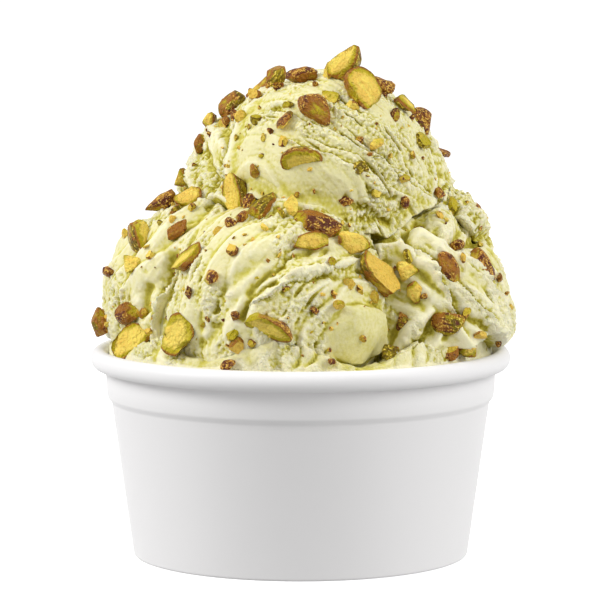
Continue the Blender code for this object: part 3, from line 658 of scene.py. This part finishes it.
def collar_relief(points, radius, crests):
    """What tears, crumbs and creases add to the collar where it shows: how far it moves up and
    outwards, and how crumbly it is."""
    shown = smooth_step(radius, *SHOWN_RADII) * smooth_step(points[:, 2], *SHOWN_HEIGHTS)
    ragged = smooth_step(crests - CREST_HEIGHT, 0.2, 3.0)
    up, out = (sampled(points, TEAR_ACROSS, (shift, 5.0, 2.0)) for shift in (1.0, 7.0))
    patches = smooth_step(sampled(points, PATCH_ACROSS, (9.0, 2.0, 5.0)), -0.25, 0.25)
    crumbs = -0.5 * patches * sampled(points, CRUMB_SIZE, (2.0, 4.0, 9.0), "VORONOI_F1")
    slanted = np.stack([points[:, 0] - 0.5 * points[:, 2], points[:, 1], points[:, 2] / 2], axis=1)
    crease = bell(sampled(slanted, CREASE_SPACING, (6.0, 1.0, 3.0)), CREASE_WIDTH)
    upwards = up * (0.5 + 0.9 * ragged) + crumbs - crease * (0.2 + 0.8 * ragged)
    outwards = out * (0.4 + 0.7 * ragged) + crumbs - 0.7 * crease
    return shown * upwards, shown * outwards, 0.25 + 0.6 * patches


def make_fill(finish):
    """Gelato pressed into the tub, with its torn collar standing above the rim."""
    radii = np.concatenate([np.linspace(*rings) for rings in FILL_RINGS])
    around = np.linspace(-180.0, 180.0, FILL_STEPS, endpoint=False)
    ring = np.stack([np.cos(np.radians(around)), np.sin(np.radians(around))], axis=1)
    outward = np.tile(ring, (len(radii), 1))
    radius = np.repeat(radii, FILL_STEPS)
    crests = np.tile(CREST_HEIGHT + tuft_height(around), len(radii))
    points = np.c_[outward * radius[:, None], collar_top(radius, crests)]
    upwards, outwards, crumbly = collar_relief(points, radius, crests)
    points += np.c_[outward * outwards[:, None], upwards]
    floor = FOOT_RECESS + FLOOR + GAP
    walls = [(inner_radius(h) - GAP, h) for h in (SHOULDER_HEIGHT, CREASE_HEIGHT, floor)]
    walls = [np.c_[ring * radius, np.full(FILL_STEPS, height)] for radius, height in walls]
    points = np.concatenate([points, *walls, [(0, 0, MOUND_HEIGHT), (0, 0, floor)]])
    quads, caps = turned_faces(len(radii) + len(walls), FILL_STEPS)
    # painted shade: deeper in the fill's hollows and further down into the tub
    below = hollowness(points[:-2], quads, np.array((0.0, 0.0, 1.0)), (8,))[0]
    tub_shade = np.clip((CREST_HEIGHT + 0.5 - points[:, 2]) / 3.5, 0.0, 1.0)
    return piece(
        "gelato_in_tub", points, quads.tolist() + caps, finish, ("gelato_fill",), {
            "hollow": 0.10 + 1.2 * np.append(below, (0.0, 0.0)) + 0.35 * tub_shade,
            "crumbly": np.append(crumbly, np.zeros(len(points) - len(crumbly))),
        },
    )


def drawn_folds(name, places):
    """What the drawn folds add at points on the front of this scoop, how torn it is there, and
    how much of a plate's smear there is."""
    height, torn, smear = np.zeros((3, len(places)))
    view = places[:, (0, 2)]
    for fold in FOLDS + FINE_FOLDS:
        if name not in fold.scoops:
            continue
        nearest = np.full(len(places), 1e9)
        side = np.ones(len(places))
        for start, end in zip(np.array(fold.points, float), np.array(fold.points[1:], float)):
            along = end - start
            to_point = view - start
            share = np.clip(to_point @ along / max(along @ along, 1e-6), 0.0, 1.0)
            away = np.linalg.norm(to_point - share[:, None] * along, axis=1)
            left = along[0] * to_point[:, 1] - along[1] * to_point[:, 0]
            closer = away < nearest
            side = np.where(closer, np.sign(left), side)
            nearest = np.where(closer, away, nearest)
        if fold.kind == "ridge":
            height += fold.height * bell(nearest, fold.width)
        elif fold.kind == "groove":
            height -= fold.height * bell(nearest, fold.width)
        elif fold.kind == "plate":
            rightward = smooth_step(view[:, 0] - fold.points[0][0], -fold.width, 0.0)
            within = 1.0 - smooth_step(nearest, fold.width - 0.3, fold.width + 0.4)
            height += fold.height * within * rightward
            smear = np.maximum(smear, within)
        else:
            height += np.where(side > 0, fold.height * np.exp(-nearest / fold.width), 0.0)
            torn = np.maximum(torn, bell(nearest, TORN_WIDTH) * min(1.0, abs(fold.height)))
    return height, torn, smear


def crumbliness(name, places, seed):
    """How coarse the surface is at each place, from 0 where the spade smoothed it to 1."""
    coarse = np.clip(SCOOPS[name].grain + 0.9 * sampled(places, 8.0, seed), 0.0, 1.0)
    for smooth in SMOOTHED:
        if smooth.scoop == name:
            wide = (places[:, 0] - smooth.across) / smooth.half_width
            high = (places[:, 2] - smooth.height) / smooth.half_height
            away = np.hypot(wide, high) + 0.25 * sampled(places, 3.0, seed)
            front = smooth_step(-places[:, 1] + SCOOPS[name].centre[1], -4.0, 2.0)
            coarse *= 1.0 - front * (1.0 - smooth_step(away, 0.75, 1.05))
    return coarse


def gelato_skin(name, directions):
    """Distance from a scoop's centre to its skin in each direction, how crumbly it is, and how
    far a plate was smeared over it."""
    scoop = SCOOPS[name]
    seed = np.array((7.3, 1.9, 4.1)) * (1 + list(SCOOPS).index(name))
    axis = np.array(scoop.drag) / np.linalg.norm(scoop.drag)
    about = np.arccos(np.clip(directions @ axis, -1.0, 1.0)) * scoop.radius
    warp = sampled(directions, WARP_ACROSS, seed)
    wave = (about / scoop.pitch + DRAG_WARP * warp) % 1.0
    ramp = np.where(wave < DRAG_RISE, wave / DRAG_RISE, (1.0 - wave) / (1.0 - DRAG_RISE))
    reach = scoop.radius + scoop.fold * (ramp - 0.5)
    reach += scoop.lump * sampled(directions, LUMPS_ACROSS, seed)
    reach -= scoop.press * np.maximum(0.0, directions[:, 1]) ** 2
    places = np.array(scoop.centre) + directions * scoop.radius
    coarse = crumbliness(name, places, seed)
    ragged = (0.15 + 0.45 * coarse)[:, None] * strayed(places, 1.4, seed)
    front = smooth_step(0.45 - directions[:, 1], 0.0, 0.2)
    height, torn, smear = drawn_folds(name, places + 0.8 * strayed(places, 4.0, seed) + ragged)
    reach += front * height
    smear *= front
    coarse = np.maximum(coarse, 0.8 * front * torn) * (1.0 - smear)
    sides = [directions @ np.roll(axis, turn) * scoop.radius / GRAIN_LENGTH for turn in (1, 2)]
    dragged = np.stack([about / GRAIN_WIDTH, *sides], axis=1)
    calm = 1.0 - 0.8 * smear
    reach += (0.12 * calm + 0.12 * coarse) * sampled(dragged, 1.0, seed)
    streaks = sampled(dragged * (0.36, 0.5, 0.5), 1.0, seed + 3.0)
    reach += (0.18 * calm + 0.36 * coarse) * streaks
    reach += (0.08 + 0.30 * coarse) * sampled(places, 2.6, seed + 5.0)
    reach += (0.07 * calm + 0.40 * coarse) * -sampled(places, 0.9, seed, "VORONOI_F1")
    reach += (0.05 * calm + 0.26 * coarse) * sampled(places, 0.75, seed + 8.0)
    pits = sampled(dragged * (0.45, 3.0, 3.0), 1.0, seed + 11.0)
    reach -= PIT_DEPTH * (0.12 + coarse) * smooth_step(pits, 0.30, 0.58)
    return reach, coarse, smear


def seam_between(name, other):
    """The plane where two scoops meet: its normal away from the first, and its offset."""
    here, there = SCOOPS[name], SCOOPS[other]
    start, end = np.array(here.centre, float), np.array(there.centre, float)
    apart = np.linalg.norm(end - start)
    normal = (end - start) / apart
    share = (apart**2 + here.radius**2 - there.radius**2) / (2 * apart)
    return normal, normal @ start + share


def seams_of(name):
    """Each seam of a scoop: its outward normal, its offset, and the pair's numbers."""
    here = SCOOPS[name]
    order = list(SCOOPS)
    for other, there in SCOOPS.items():
        apart = np.linalg.norm(np.array(there.centre, float) - here.centre)
        if other == name or apart >= here.radius + there.radius:
            continue
        pair = sorted((name, other), key=order.index)
        normal, offset = seam_between(*pair)
        sign = 1.0 if name == pair[0] else -1.0
        yield sign * normal, sign * offset, sign, [order.index(scoop) for scoop in pair]


def heart_of(name):
    """A place well inside a scoop, clear of all its seams."""
    place = np.array(SCOOPS[name].centre, float)
    for _ in range(HEART_STEPS):
        for normal, offset, _, _ in seams_of(name):
            short = HEART_ROOM * SCOOPS[name].radius - (offset - normal @ place)
            place -= normal * max(0.0, short)
    return place


def points_on(heart, lines, reach):
    """The end of each line from the heart."""
    return heart + lines * reach[:, None]


def seam_stray(points, normal, offset, sign, pair):
    """How far a seam strays outwards from its plane beside each point."""
    flat = points - np.outer(points @ normal - offset, normal)
    small, wide = (sampled(flat, size, (pair[0], pair[1], 0.5)) for size in (5.0, 14.0))
    return sign * SEAM_WANDER * (small + 2.2 * wide)


def room_to_seams(name, heart, directions, reach):
    """How far each line from the heart may go before a neighbour, and the skin's clearance."""
    limit = np.full(len(directions), 1e9)
    clearance = np.full(len(directions), 1e9)
    skin = points_on(heart, directions, reach)
    for normal, offset, sign, pair in seams_of(name):
        towards = directions @ normal
        facing = towards > 1e-3
        stray = 0.0
        for _ in range(2):
            bound = offset + stray + SEAM_OVERLAP / 2 - normal @ heart
            room = np.where(facing, bound / np.where(facing, towards, 1.0), 1e9)
            meets = points_on(heart, directions, np.minimum(room, reach))
            stray = seam_stray(meets, normal, offset, sign, pair)
        clearance = np.minimum(clearance, offset + stray + SEAM_OVERLAP / 2 - skin @ normal)
        limit = np.minimum(limit, room)
    return limit, clearance


def seat_height(points):
    """Lowest height that a scoop may reach at each point: the fill, and the rim beyond it."""
    radius = np.hypot(points[:, 0], points[:, 1])
    around = np.degrees(np.arctan2(points[:, 1], points[:, 0]))
    steps = np.linspace(-180.0, 180.0, 721)
    crest = np.interp(around, steps, CREST_HEIGHT + tuft_height(steps))
    inside = collar_top(np.minimum(radius, CREST_RADIUS), crest) - SEAT_SINK
    beyond = RIM_HEIGHT + GAP + UNDERCUT * np.maximum(radius - COLLAR_RADIUS, 0.0) ** 2
    return np.where(radius < CREST_RADIUS, inside, np.maximum(inside, beyond))


def pressed_out(scoop, skin, clearance):
    """How far a scoop swells and its foot spreads beside its seams."""
    flare = np.clip(0.6 + 0.9 * sampled(skin, 9.0, (4.0, 4.0, 4.0)), 0.0, 1.2)
    swell = np.clip(1.0 - clearance / SEAM_BLEND, 0.0, 1.0) ** 2 * SEAM_BLEND / 4
    return flare * swell + scoop.skirt * bell(np.maximum(clearance - 0.6, 0.0), 1.5)


def seated(heart, lines, reach):
    """The reach along each line, cut short where it would sink into the fill or the rim."""
    whole = points_on(heart, lines, reach)
    sunk = whole[:, 2] < seat_height(whole)
    low, high = np.zeros(len(reach)), reach.copy()
    for _ in range(SEAT_HALVINGS):
        middle = (low + high) / 2
        tried = points_on(heart, lines, middle)
        clear = tried[:, 2] >= seat_height(tried)
        low, high = np.where(clear, middle, low), np.where(clear, high, middle)
    return np.where(sunk, low, reach)


def painted_shade_of(points, quads, directions, clearance, smear):
    """How deep the painted shade is: in hollows, beside seams, at the seat, and evenly on a smear that
    faces down.
    """
    rounds = MANY_ROUNDS
    fine, broad = hollowness(points, quads, directions, rounds)
    to_seam = np.maximum(clearance, 0.0)
    to_seat = np.maximum(points[:, 2] - seat_height(points), 0.0)
    # painted shade in fine and broad hollows, beside the seams between scoops, and at the seat
    seam_shade = bell(to_seam, 1.3) + 0.6 * bell(to_seam, 4.0)
    hollow = 0.12 + 1.9 * fine + 0.6 * broad + 0.6 * seam_shade + 0.4 * bell(to_seat, 1.2)
    # a smeared plate faces down and takes an even painted shade
    return np.minimum(hollow, DEEPEST_PAINTED_SHADE) * (1.0 - smear) + SMEAR_SHADE * smear


def make_scoop(name, finish):
    """A dragged, lumpy, crumbly ball that stops at its neighbours, the fill and the rim."""
    scoop = SCOOPS[name]
    centre, heart = np.array(scoop.centre, float), heart_of(name)
    lines, quads = ball_grid(scoop.cells)
    along = lines @ (heart - centre)
    far = np.sqrt(along**2 + scoop.radius**2 - (heart - centre) @ (heart - centre)) - along
    directions = (heart + lines * far[:, None] - centre) / scoop.radius
    skin, coarse, smear = gelato_skin(name, directions)
    lines = centre + directions * skin[:, None] - heart
    reach = np.linalg.norm(lines, axis=1)
    lines /= reach[:, None]
    limit, clearance = room_to_seams(name, heart, lines, reach)
    reach += pressed_out(scoop, points_on(heart, lines, reach), clearance)
    reach = seated(heart, lines, np.minimum(reach, limit))
    points = points_on(heart, lines, reach)
    # the gelato's colour depth attribute is painted shade
    made = piece(
        "gelato_" + name, points, quads.tolist(), finish, (name,),
        {"hollow": painted_shade_of(points, quads, directions, clearance, smear), "crumbly": coarse},
    )
    thin_out(made, SHOWN_SHARE)
    return made


# --- Pistachios ----------------------------------------------------------------------------------

CUT_SHARE = 0.09  # a flat side with more than this share of the surface is a cut
CUT_CREASE = 0.55  # how crisp the edge of a cut stays
NUT_ROUNDING = 2  # rounds of subdivision
NUT_ROUGHNESS = 0.22
NUT_CHOPS = 7
CHIP_CREASE = math.radians(38)
CHIP_SINK = 0.12  # how far a chip's middle stands off the gelato, as a share of its size
CRUMB_SINK = 0.1


def flat_sides(form):
    """The faces of a form that lie on its large flat sides."""
    total = sum(face.calc_area() for face in form.faces)
    left, flats = set(form.faces), set()
    while left:
        first = max(left, key=lambda face: (face.calc_area(), -face.index))
        side = {face for face in left if face.normal.dot(first.normal) > 0.9995}
        left -= side
        if sum(face.calc_area() for face in side) > CUT_SHARE * total:
            flats |= side
    return flats


def rounded(form):
    """A form's mesh, rounded except at its creases."""
    mesh = bpy.data.meshes.new("nut")
    form.to_mesh(mesh)
    form.free()
    shaped = stand("nut", mesh)
    finer = shaped.modifiers.new("finer", "SUBSURF")
    finer.levels = finer.render_levels = NUT_ROUNDING
    fine = with_modifiers(shaped)
    bpy.data.objects.remove(shaped, do_unlink=True)
    return fine


def depth_below_skin(points, faces, is_cut):
    """How far each point lies from the rim of a cut: above 0 on cuts, and below 0 on skin."""
    touches = np.zeros((2, len(points)), bool)
    for kind in (0, 1):
        touches[kind, faces[is_cut == kind].ravel()] = True
    rim = points[touches[0] & touches[1]]
    away = np.full(len(points), 9.0)
    if len(rim):
        away = np.linalg.norm(points[:, None, :] - rim[None, :, :], axis=2).min(axis=1)
    return np.where(touches[1] & ~touches[0], away, -away)


def refined_nut(form, seed):
    """Rounds a nut's form, keeps its cut edges crisp, and makes it uneven.

    Returns its points in millimetres, its faces and how far in from the skin each point is."""
    crease = form.edges.layers.float.new("crease_edge")
    form.normal_update()
    cut = flat_sides(form)
    for edge in form.edges:
        sides = [face in cut for face in edge.link_faces]
        if sides[0] != sides[1] or (sides[0] and edge.calc_face_angle(0.0) > 0.5):
            edge[crease] = CUT_CREASE
    for face in form.faces:
        face.material_index = int(face in cut)
    fine = rounded(form)
    points = read_out(fine.vertices, "co", 3) / MM
    normals = read_out(fine.vertices, "normal", 3)
    faces = np.array([tuple(face.vertices) for face in fine.polygons])
    is_cut = read_out(fine.polygons, "material_index", 1, np.int32)[:, 0]
    inward = depth_below_skin(points, faces, is_cut)
    uneven = NUT_ROUGHNESS * (1.6 * sampled(points, 3.4, seed) + sampled(points, 1.5, seed))
    return points + normals * uneven[:, None], faces, inward


def chop(points, inward, chance, cuts):
    """Takes small flat chips off a nut, and marks what they lay bare."""
    middle = points.mean(axis=0)
    for _ in range(cuts):
        normal = np.array([chance.gauss(0, 1) for _ in range(3)])
        normal /= np.linalg.norm(normal)
        heights = (points - middle) @ normal
        over = heights - heights.max() * chance.uniform(0.58, 0.86)
        over += 0.18 * sampled(points, 1.3, (cuts, 3.0, 7.0))
        points = points - np.outer(np.maximum(over, 0.0), normal)
        inward = np.where(over > 0, np.maximum(inward, 0.5 * over), inward)
    return points, inward


def long_way(points):
    """The directions of a form's long, middle and short sides, as rows."""
    middle = points - points.mean(axis=0)
    return np.linalg.svd(middle, full_matrices=False)[2]


def filled_out(points, whole):
    """Stretches a rounded form back to the length, width and thickness of the whole one."""
    axes = long_way(whole)
    now, then = points @ axes.T, whole @ axes.T
    low, high = then.min(axis=0), then.max(axis=0)
    share = (now - now.min(axis=0)) / (now.max(axis=0) - now.min(axis=0))
    return (low + share * (high - low)) @ axes


def make_nut(name, number, finish, tones):
    """A pistachio piece, refined from its CAD solid."""
    form = bmesh.new()
    form.from_mesh(frame["nodes"][name].data)
    bmesh.ops.remove_doubles(form, verts=form.verts, dist=1e-6)
    seed = np.array((1.7, 5.3, 2.9)) * number
    whole = np.array([tuple(vert.co) for vert in form.verts]) / MM
    points, faces, inward = refined_nut(form, seed)
    points, inward = chop(points, inward, random.Random(number), NUT_CHOPS)
    points = filled_out(points, whole)
    local = (points - points.mean(axis=0)) @ long_way(points).T
    purple, tan = tones
    attributes = {
        "inward": inward,
        "purple": np.full(len(points), purple),
        "tan": np.full(len(points), tan),
        "along_nut": (local * (0.35, 1.0, 1.0) + seed) * MM,
    }
    return piece("nut_" + name, points, faces.tolist(), finish, (name,), attributes)


def chipped_form(size, chance):
    """A small angular bit: a lumpy ball with a few flat cuts, whose faces are marked 1."""
    form = bmesh.new()
    bmesh.ops.create_icosphere(form, subdivisions=2, radius=0.56)
    shape = Vector((chance.uniform(1.0, 1.45), chance.uniform(0.75, 1.0), chance.uniform(0.55, 0.8)))
    for _ in range(chance.randint(5, 7)):
        normal = Vector([chance.gauss(0, 1) for _ in range(3)]).normalized()
        bmesh.ops.bisect_plane(
            form, geom=form.verts[:] + form.edges[:] + form.faces[:],
            plane_co=normal * chance.uniform(0.26, 0.46), plane_no=normal, clear_outer=True,
        )
        edges = [edge for edge in form.edges if edge.is_boundary]
        for face in bmesh.ops.holes_fill(form, edges=edges)["faces"]:
            face.material_index = 1
    bmesh.ops.scale(form, vec=shape * size, verts=form.verts)
    turn = Euler([chance.uniform(0, math.tau) for _ in range(3)]).to_matrix()
    bmesh.ops.rotate(form, cent=(0, 0, 0), matrix=turn, verts=form.verts)
    for vert in form.verts:
        vert.co += vert.co.normalized() * 0.1 * size * noise.noise(vert.co * 2.1 / size + turn[0])
    bmesh.ops.triangulate(form, faces=form.faces)
    return form


class Ground:
    """The gelato's surface, for setting bits on it."""

    def __init__(self, pieces):
        points, faces = [], []
        for made in pieces:
            mesh = made.data
            faces += [[v + len(points) for v in face.vertices] for face in mesh.polygons]
            points += (read_out(mesh.vertices, "co", 3) / MM).tolist()
        self.tree = BVHTree.FromPolygons(points, faces)

    def under(self, across, height, side):
        """Where a line from the front (-1) or from behind (1) lands, and the outward direction."""
        start = Vector((across, side * FAR_OUT, height))
        place, normal, _, _ = self.tree.ray_cast(start, Vector((0, -side, 0)))
        return place, normal

    def towards_middle(self, direction):
        """Where a line from outside in this direction lands."""
        start = Vector(CRUMBS_FROM) + direction * FAR_OUT
        place, normal, _, _ = self.tree.ray_cast(start, -direction)
        return place, normal


# Where a bit lies, the outward direction there, the bit's size, and its own random draws, so that
# a bit that misses the gelato changes no other
Spot = namedtuple("Spot", "place outward size chance")


def scatter(name, spots, finish, tones, sink):
    """Joins angular bits into one piece."""
    points, faces, inward, purple, tan = [], [], [], [], []
    for place, outward, size, chance in spots:
        form = chipped_form(size, chance)
        middle = place + outward * size * sink
        rind, flesh, skin, toast = tones(chance)
        for cut in (0, 1):
            corners = {}
            for face in form.faces:
                if face.material_index == cut:
                    for vert in face.verts:
                        corners.setdefault(vert, len(points) + len(corners))
                    faces.append(tuple(corners[vert] for vert in face.verts))
            points += [tuple(middle + vert.co) for vert in corners]
            inward += [flesh if cut else rind] * len(corners)
            purple += [skin] * len(corners)
            tan += [toast] * len(corners)
        form.free()
    attributes = {
        "inward": inward, "purple": purple, "tan": tan, "along_nut": np.array(points) * MM,
    }
    made = piece(name, points, faces, finish, (), attributes)
    made.data.set_sharp_from_angle(angle=CHIP_CREASE)
    return made


# What a chip of each kind shows: depth below the skin on its rind and on its cuts, how purple its
# skin is, and how tan its flesh is
CHIP_TONES = {
    "flesh": lambda chance: (
        chance.uniform(-0.4, 1.5), chance.uniform(1.2, 3.0), 0.6, chance.uniform(0.3, 0.8)),
    "skin": lambda chance: (
        -0.8, chance.uniform(-0.8, 0.9), chance.uniform(0.7, 1.0), chance.uniform(0.4, 0.9)),
    "green": lambda chance: (
        -0.8, chance.uniform(-0.6, 1.4), chance.uniform(0.0, 0.3), chance.uniform(0.2, 0.6)),
    "toasted": lambda chance: (
        chance.uniform(-0.5, 0.3), chance.uniform(0.3, 1.2), 0.9, chance.uniform(0.7, 1.0)),
}


def make_chips(ground, finish):
    """Chopped bits, one piece for each kind, set where they lie in front and scattered behind."""
    for count, (kind, listed) in enumerate(CHIPS.items()):
        spots = []
        for number, (across, height, size) in enumerate(listed):
            place, outward = ground.under(across, height, -1)
            if place:
                spots.append(Spot(place, outward, size, random.Random(1000 * count + number)))
        for number in range(REAR_CHIPS):
            chance = random.Random(1000 * count + 500 + number)
            across, height = chance.uniform(*REAR_ACROSS), chance.uniform(*REAR_HEIGHTS)
            size = chance.uniform(*REAR_SIZES)
            place, outward = ground.under(across, height, 1)
            if place and place.y > REAR_START:
                spots.append(Spot(place, outward, size, chance))
        scatter("chips_" + kind, spots, finish, CHIP_TONES[kind], CHIP_SINK)


def make_crumbs(ground, finish):
    """Fine crumbs of nut all over the gelato."""
    spots = []
    for number in range(CRUMB_TRIES):
        chance = random.Random(70000 + number)
        direction = Vector([chance.gauss(0, 1) for _ in range(3)]).normalized()
        smallest, largest = CRUMB_SIZES
        size = smallest + (largest - smallest) * chance.random() ** 2
        place, outward = ground.towards_middle(direction)
        if place and place.z > CRUMBS_ABOVE and outward.dot(direction) > 0.1:
            spots.append(Spot(place, outward, size, chance))
    kinds = [CHIP_TONES[kind] for kind in ("flesh", "flesh", "toasted", "toasted", "skin")]
    scatter(
        "nut_crumbs", spots, finish, lambda chance: chance.choice(kinds)(chance), CRUMB_SINK
    )


# --- Tub -----------------------------------------------------------------------------------------


def inner_radius(height):
    """Radius of the tub's inner wall below the rolled rim."""
    if height < CREASE_HEIGHT:
        outer = FOOT_RADIUS + (CREASE_RADIUS - FOOT_RADIUS) * height / CREASE_HEIGHT
    else:
        share = min(1.0, (height - CREASE_HEIGHT) / (SHOULDER_HEIGHT - CREASE_HEIGHT))
        outer = CREASE_RADIUS + (SHOULDER_RADIUS - CREASE_RADIUS) * share
    return outer - WALL


def arc(middle, half_width, half_height, start, end, steps):
    """Points on an ellipse's arc, from one angle to another in degrees."""
    turns = np.radians(np.linspace(start, end, steps))
    return [
        (middle[0] + half_width * math.cos(t), middle[1] + half_height * math.sin(t)) for t in turns
    ]


def tub_profile():
    """Radius and height from the middle of the inside floor, over the rim, to the foot's middle."""
    roll = (RIM_RADIUS - ROLL_HALF_WIDTH, RIM_HEIGHT - ROLL_HALF_HEIGHT)
    floor = FOOT_RECESS + FLOOR
    under = math.degrees(math.acos((COLLAR_RADIUS - roll[0]) / ROLL_HALF_WIDTH))
    inside = [(0.0, floor), (inner_radius(floor) - 0.4, floor), (inner_radius(floor), floor + 0.4)]
    inside += [(inner_radius(h), h) for h in (CREASE_HEIGHT, SHOULDER_HEIGHT)]
    rim = arc(roll, ROLL_HALF_WIDTH, ROLL_HALF_HEIGHT, 180, -under, 34)
    collar = [
        (COLLAR_RADIUS - 0.05, rim[-1][1] - 0.25),
        (COLLAR_RADIUS - 0.15, SHOULDER_HEIGHT + 3.0),
        (SHOULDER_RADIUS, SHOULDER_HEIGHT + 0.35),
        (SHOULDER_RADIUS - 0.2, SHOULDER_HEIGHT - 0.25),
        (CREASE_RADIUS + 0.25, CREASE_HEIGHT + 0.7),
        (CREASE_RADIUS, CREASE_HEIGHT),
    ]
    foot = arc(
        (FOOT_RADIUS - FOOT_ROUNDING, FOOT_ROUNDING), FOOT_ROUNDING, FOOT_ROUNDING, 0, -90, 6
    )
    under_foot = [
        (FOOT_RADIUS - FOOT_RING_WIDTH, 0.0),
        (FOOT_RADIUS - FOOT_RING_WIDTH - FOOT_ROUNDING, FOOT_RECESS),
        (0.0, FOOT_RECESS),
    ]
    return inside + rim + collar + foot + under_foot


def make_tub(finish):
    """The rolled-rim tub, turned in fine steps."""
    (_, inside), *rings, (_, underneath) = tub_profile()
    turns = np.radians(np.arange(TUB_STEPS) * 360.0 / TUB_STEPS)
    points = [
        (radius * math.cos(t), radius * math.sin(t), height) for radius, height in rings for t in turns
    ]
    points += [(0.0, 0.0, inside), (0.0, 0.0, underneath)]
    quads, caps = turned_faces(len(rings), TUB_STEPS)
    piece("white_tub", points, quads.tolist() + caps, finish, ("tub",))


# --- Studio --------------------------------------------------------------------------------------

CAMERA_PLACE = (-0.00014, -0.917, 0.16045)
CAMERA_DIP = 6.20  # degrees below level
CAMERA_LENS = 232.3
# How bright it is all round, from straight down (-1) to straight up (1)
AMBIENT = {"From Min": -1.0, "From Max": 1.0, "To Min": 0.45, "To Max": 0.65}
WHITE = (1.0, 1.0, 1.0, 1.0)
FLOOR_REACH = 6.0
LIT_PLACE = (0.0, 0.0, 0.065)  # what the lights aim at


def soft_light(name, place, size, watts):
    """A rectangular light that faces the serving."""
    lamp = bpy.data.lights.new(name, "AREA")
    lamp.energy = watts
    lamp.shape = "RECTANGLE"
    lamp.size, lamp.size_y = size
    made = stand(name, lamp)
    made.location = place
    made.rotation_euler = (Vector(LIT_PLACE) - Vector(place)).to_track_quat("-Z", "Y").to_euler()


def make_camera():
    """A long lens that looks a little down on the front of the serving."""
    lens = bpy.data.cameras.new("view")
    lens.lens = CAMERA_LENS
    lens.sensor_width = 36.0
    camera = stand("view", lens)
    camera.location = CAMERA_PLACE
    camera.rotation_euler = (math.radians(90.0 - CAMERA_DIP), 0.0, 0.0)
    bpy.context.scene.camera = camera


def make_floor():
    """A plain pale floor."""
    corners = [(x * FLOOR_REACH, y * FLOOR_REACH, 0) for x, y in ((-1, -1), (1, -1), (1, 1), (-1, 1))]
    mesh = bpy.data.meshes.new("floor")
    mesh.from_pydata(corners, [], [(0, 1, 2, 3)])
    mesh.materials.append(floor_finish())
    floor = stand("floor", mesh)
    floor.visible_diffuse = False


def make_surround():
    """An even white surround, which lights the serving a little more from above."""
    world = bpy.data.worlds.new("studio")
    bpy.context.scene.world = world
    world.use_nodes = True
    nodes = Nodes(world.node_tree)
    facing = nodes.node("ShaderNodeTexCoord", {}, {}, "Generated")
    upward = nodes.node("ShaderNodeSeparateXYZ", {}, {"Vector": facing}, "Z")
    brightness = nodes.node("ShaderNodeMapRange", {}, {"Value": upward, **AMBIENT})
    lighting = nodes.node("ShaderNodeBackground", {}, {"Color": WHITE, "Strength": brightness})
    shown = nodes.node("ShaderNodeBackground", {}, {"Color": WHITE, "Strength": 1.0})
    seen = nodes.node("ShaderNodeLightPath", {}, {}, "Is Camera Ray")
    both = nodes.node("ShaderNodeMixShader", {}, {0: seen, 1: lighting, 2: shown})
    nodes.tree.links.new(both.socket, nodes.tree.nodes["World Output"].inputs["Surface"])


def make_studio():
    """Camera, floor, soft lights at both sides and above, and the surround."""
    make_camera()
    make_floor()
    soft_light("key_left", (-0.64, -0.20, 0.50), (0.35, 0.35), 4.3)
    soft_light("fill_right", (0.62, -0.27, 0.42), (0.35, 0.5), 3.2)
    soft_light("top", (0.0, 0.25, 0.8), (0.5, 0.5), 0.8)
    make_surround()
    bpy.context.scene.view_settings.view_transform = "Standard"


# --- The whole serving ---------------------------------------------------------------------------


def make_nuts(finish):
    """Every pistachio piece of the frame. Those in front have set tones, those behind random."""
    chance = random.Random(5)
    for name in sorted(frame["nodes"]):
        if not name.startswith("pistachio_"):
            continue
        _, group, number = name.split("_")
        number = int(number)
        if group == "front":
            make_nut(name, number, finish, NUT_TONES[number])
        else:
            make_nut(name, number + len(NUT_TONES), finish, (chance.random(), chance.random()))


def main():
    churned = gelato_finish()
    roasted = pistachio_finish()
    make_tub(tub_finish())
    gelato = [make_scoop(name, churned) for name in SCOOPS]
    gelato.append(make_fill(churned))
    make_nuts(roasted)
    ground = Ground(gelato)
    make_chips(ground, roasted)
    make_crumbs(ground, roasted)
    make_studio()


main()
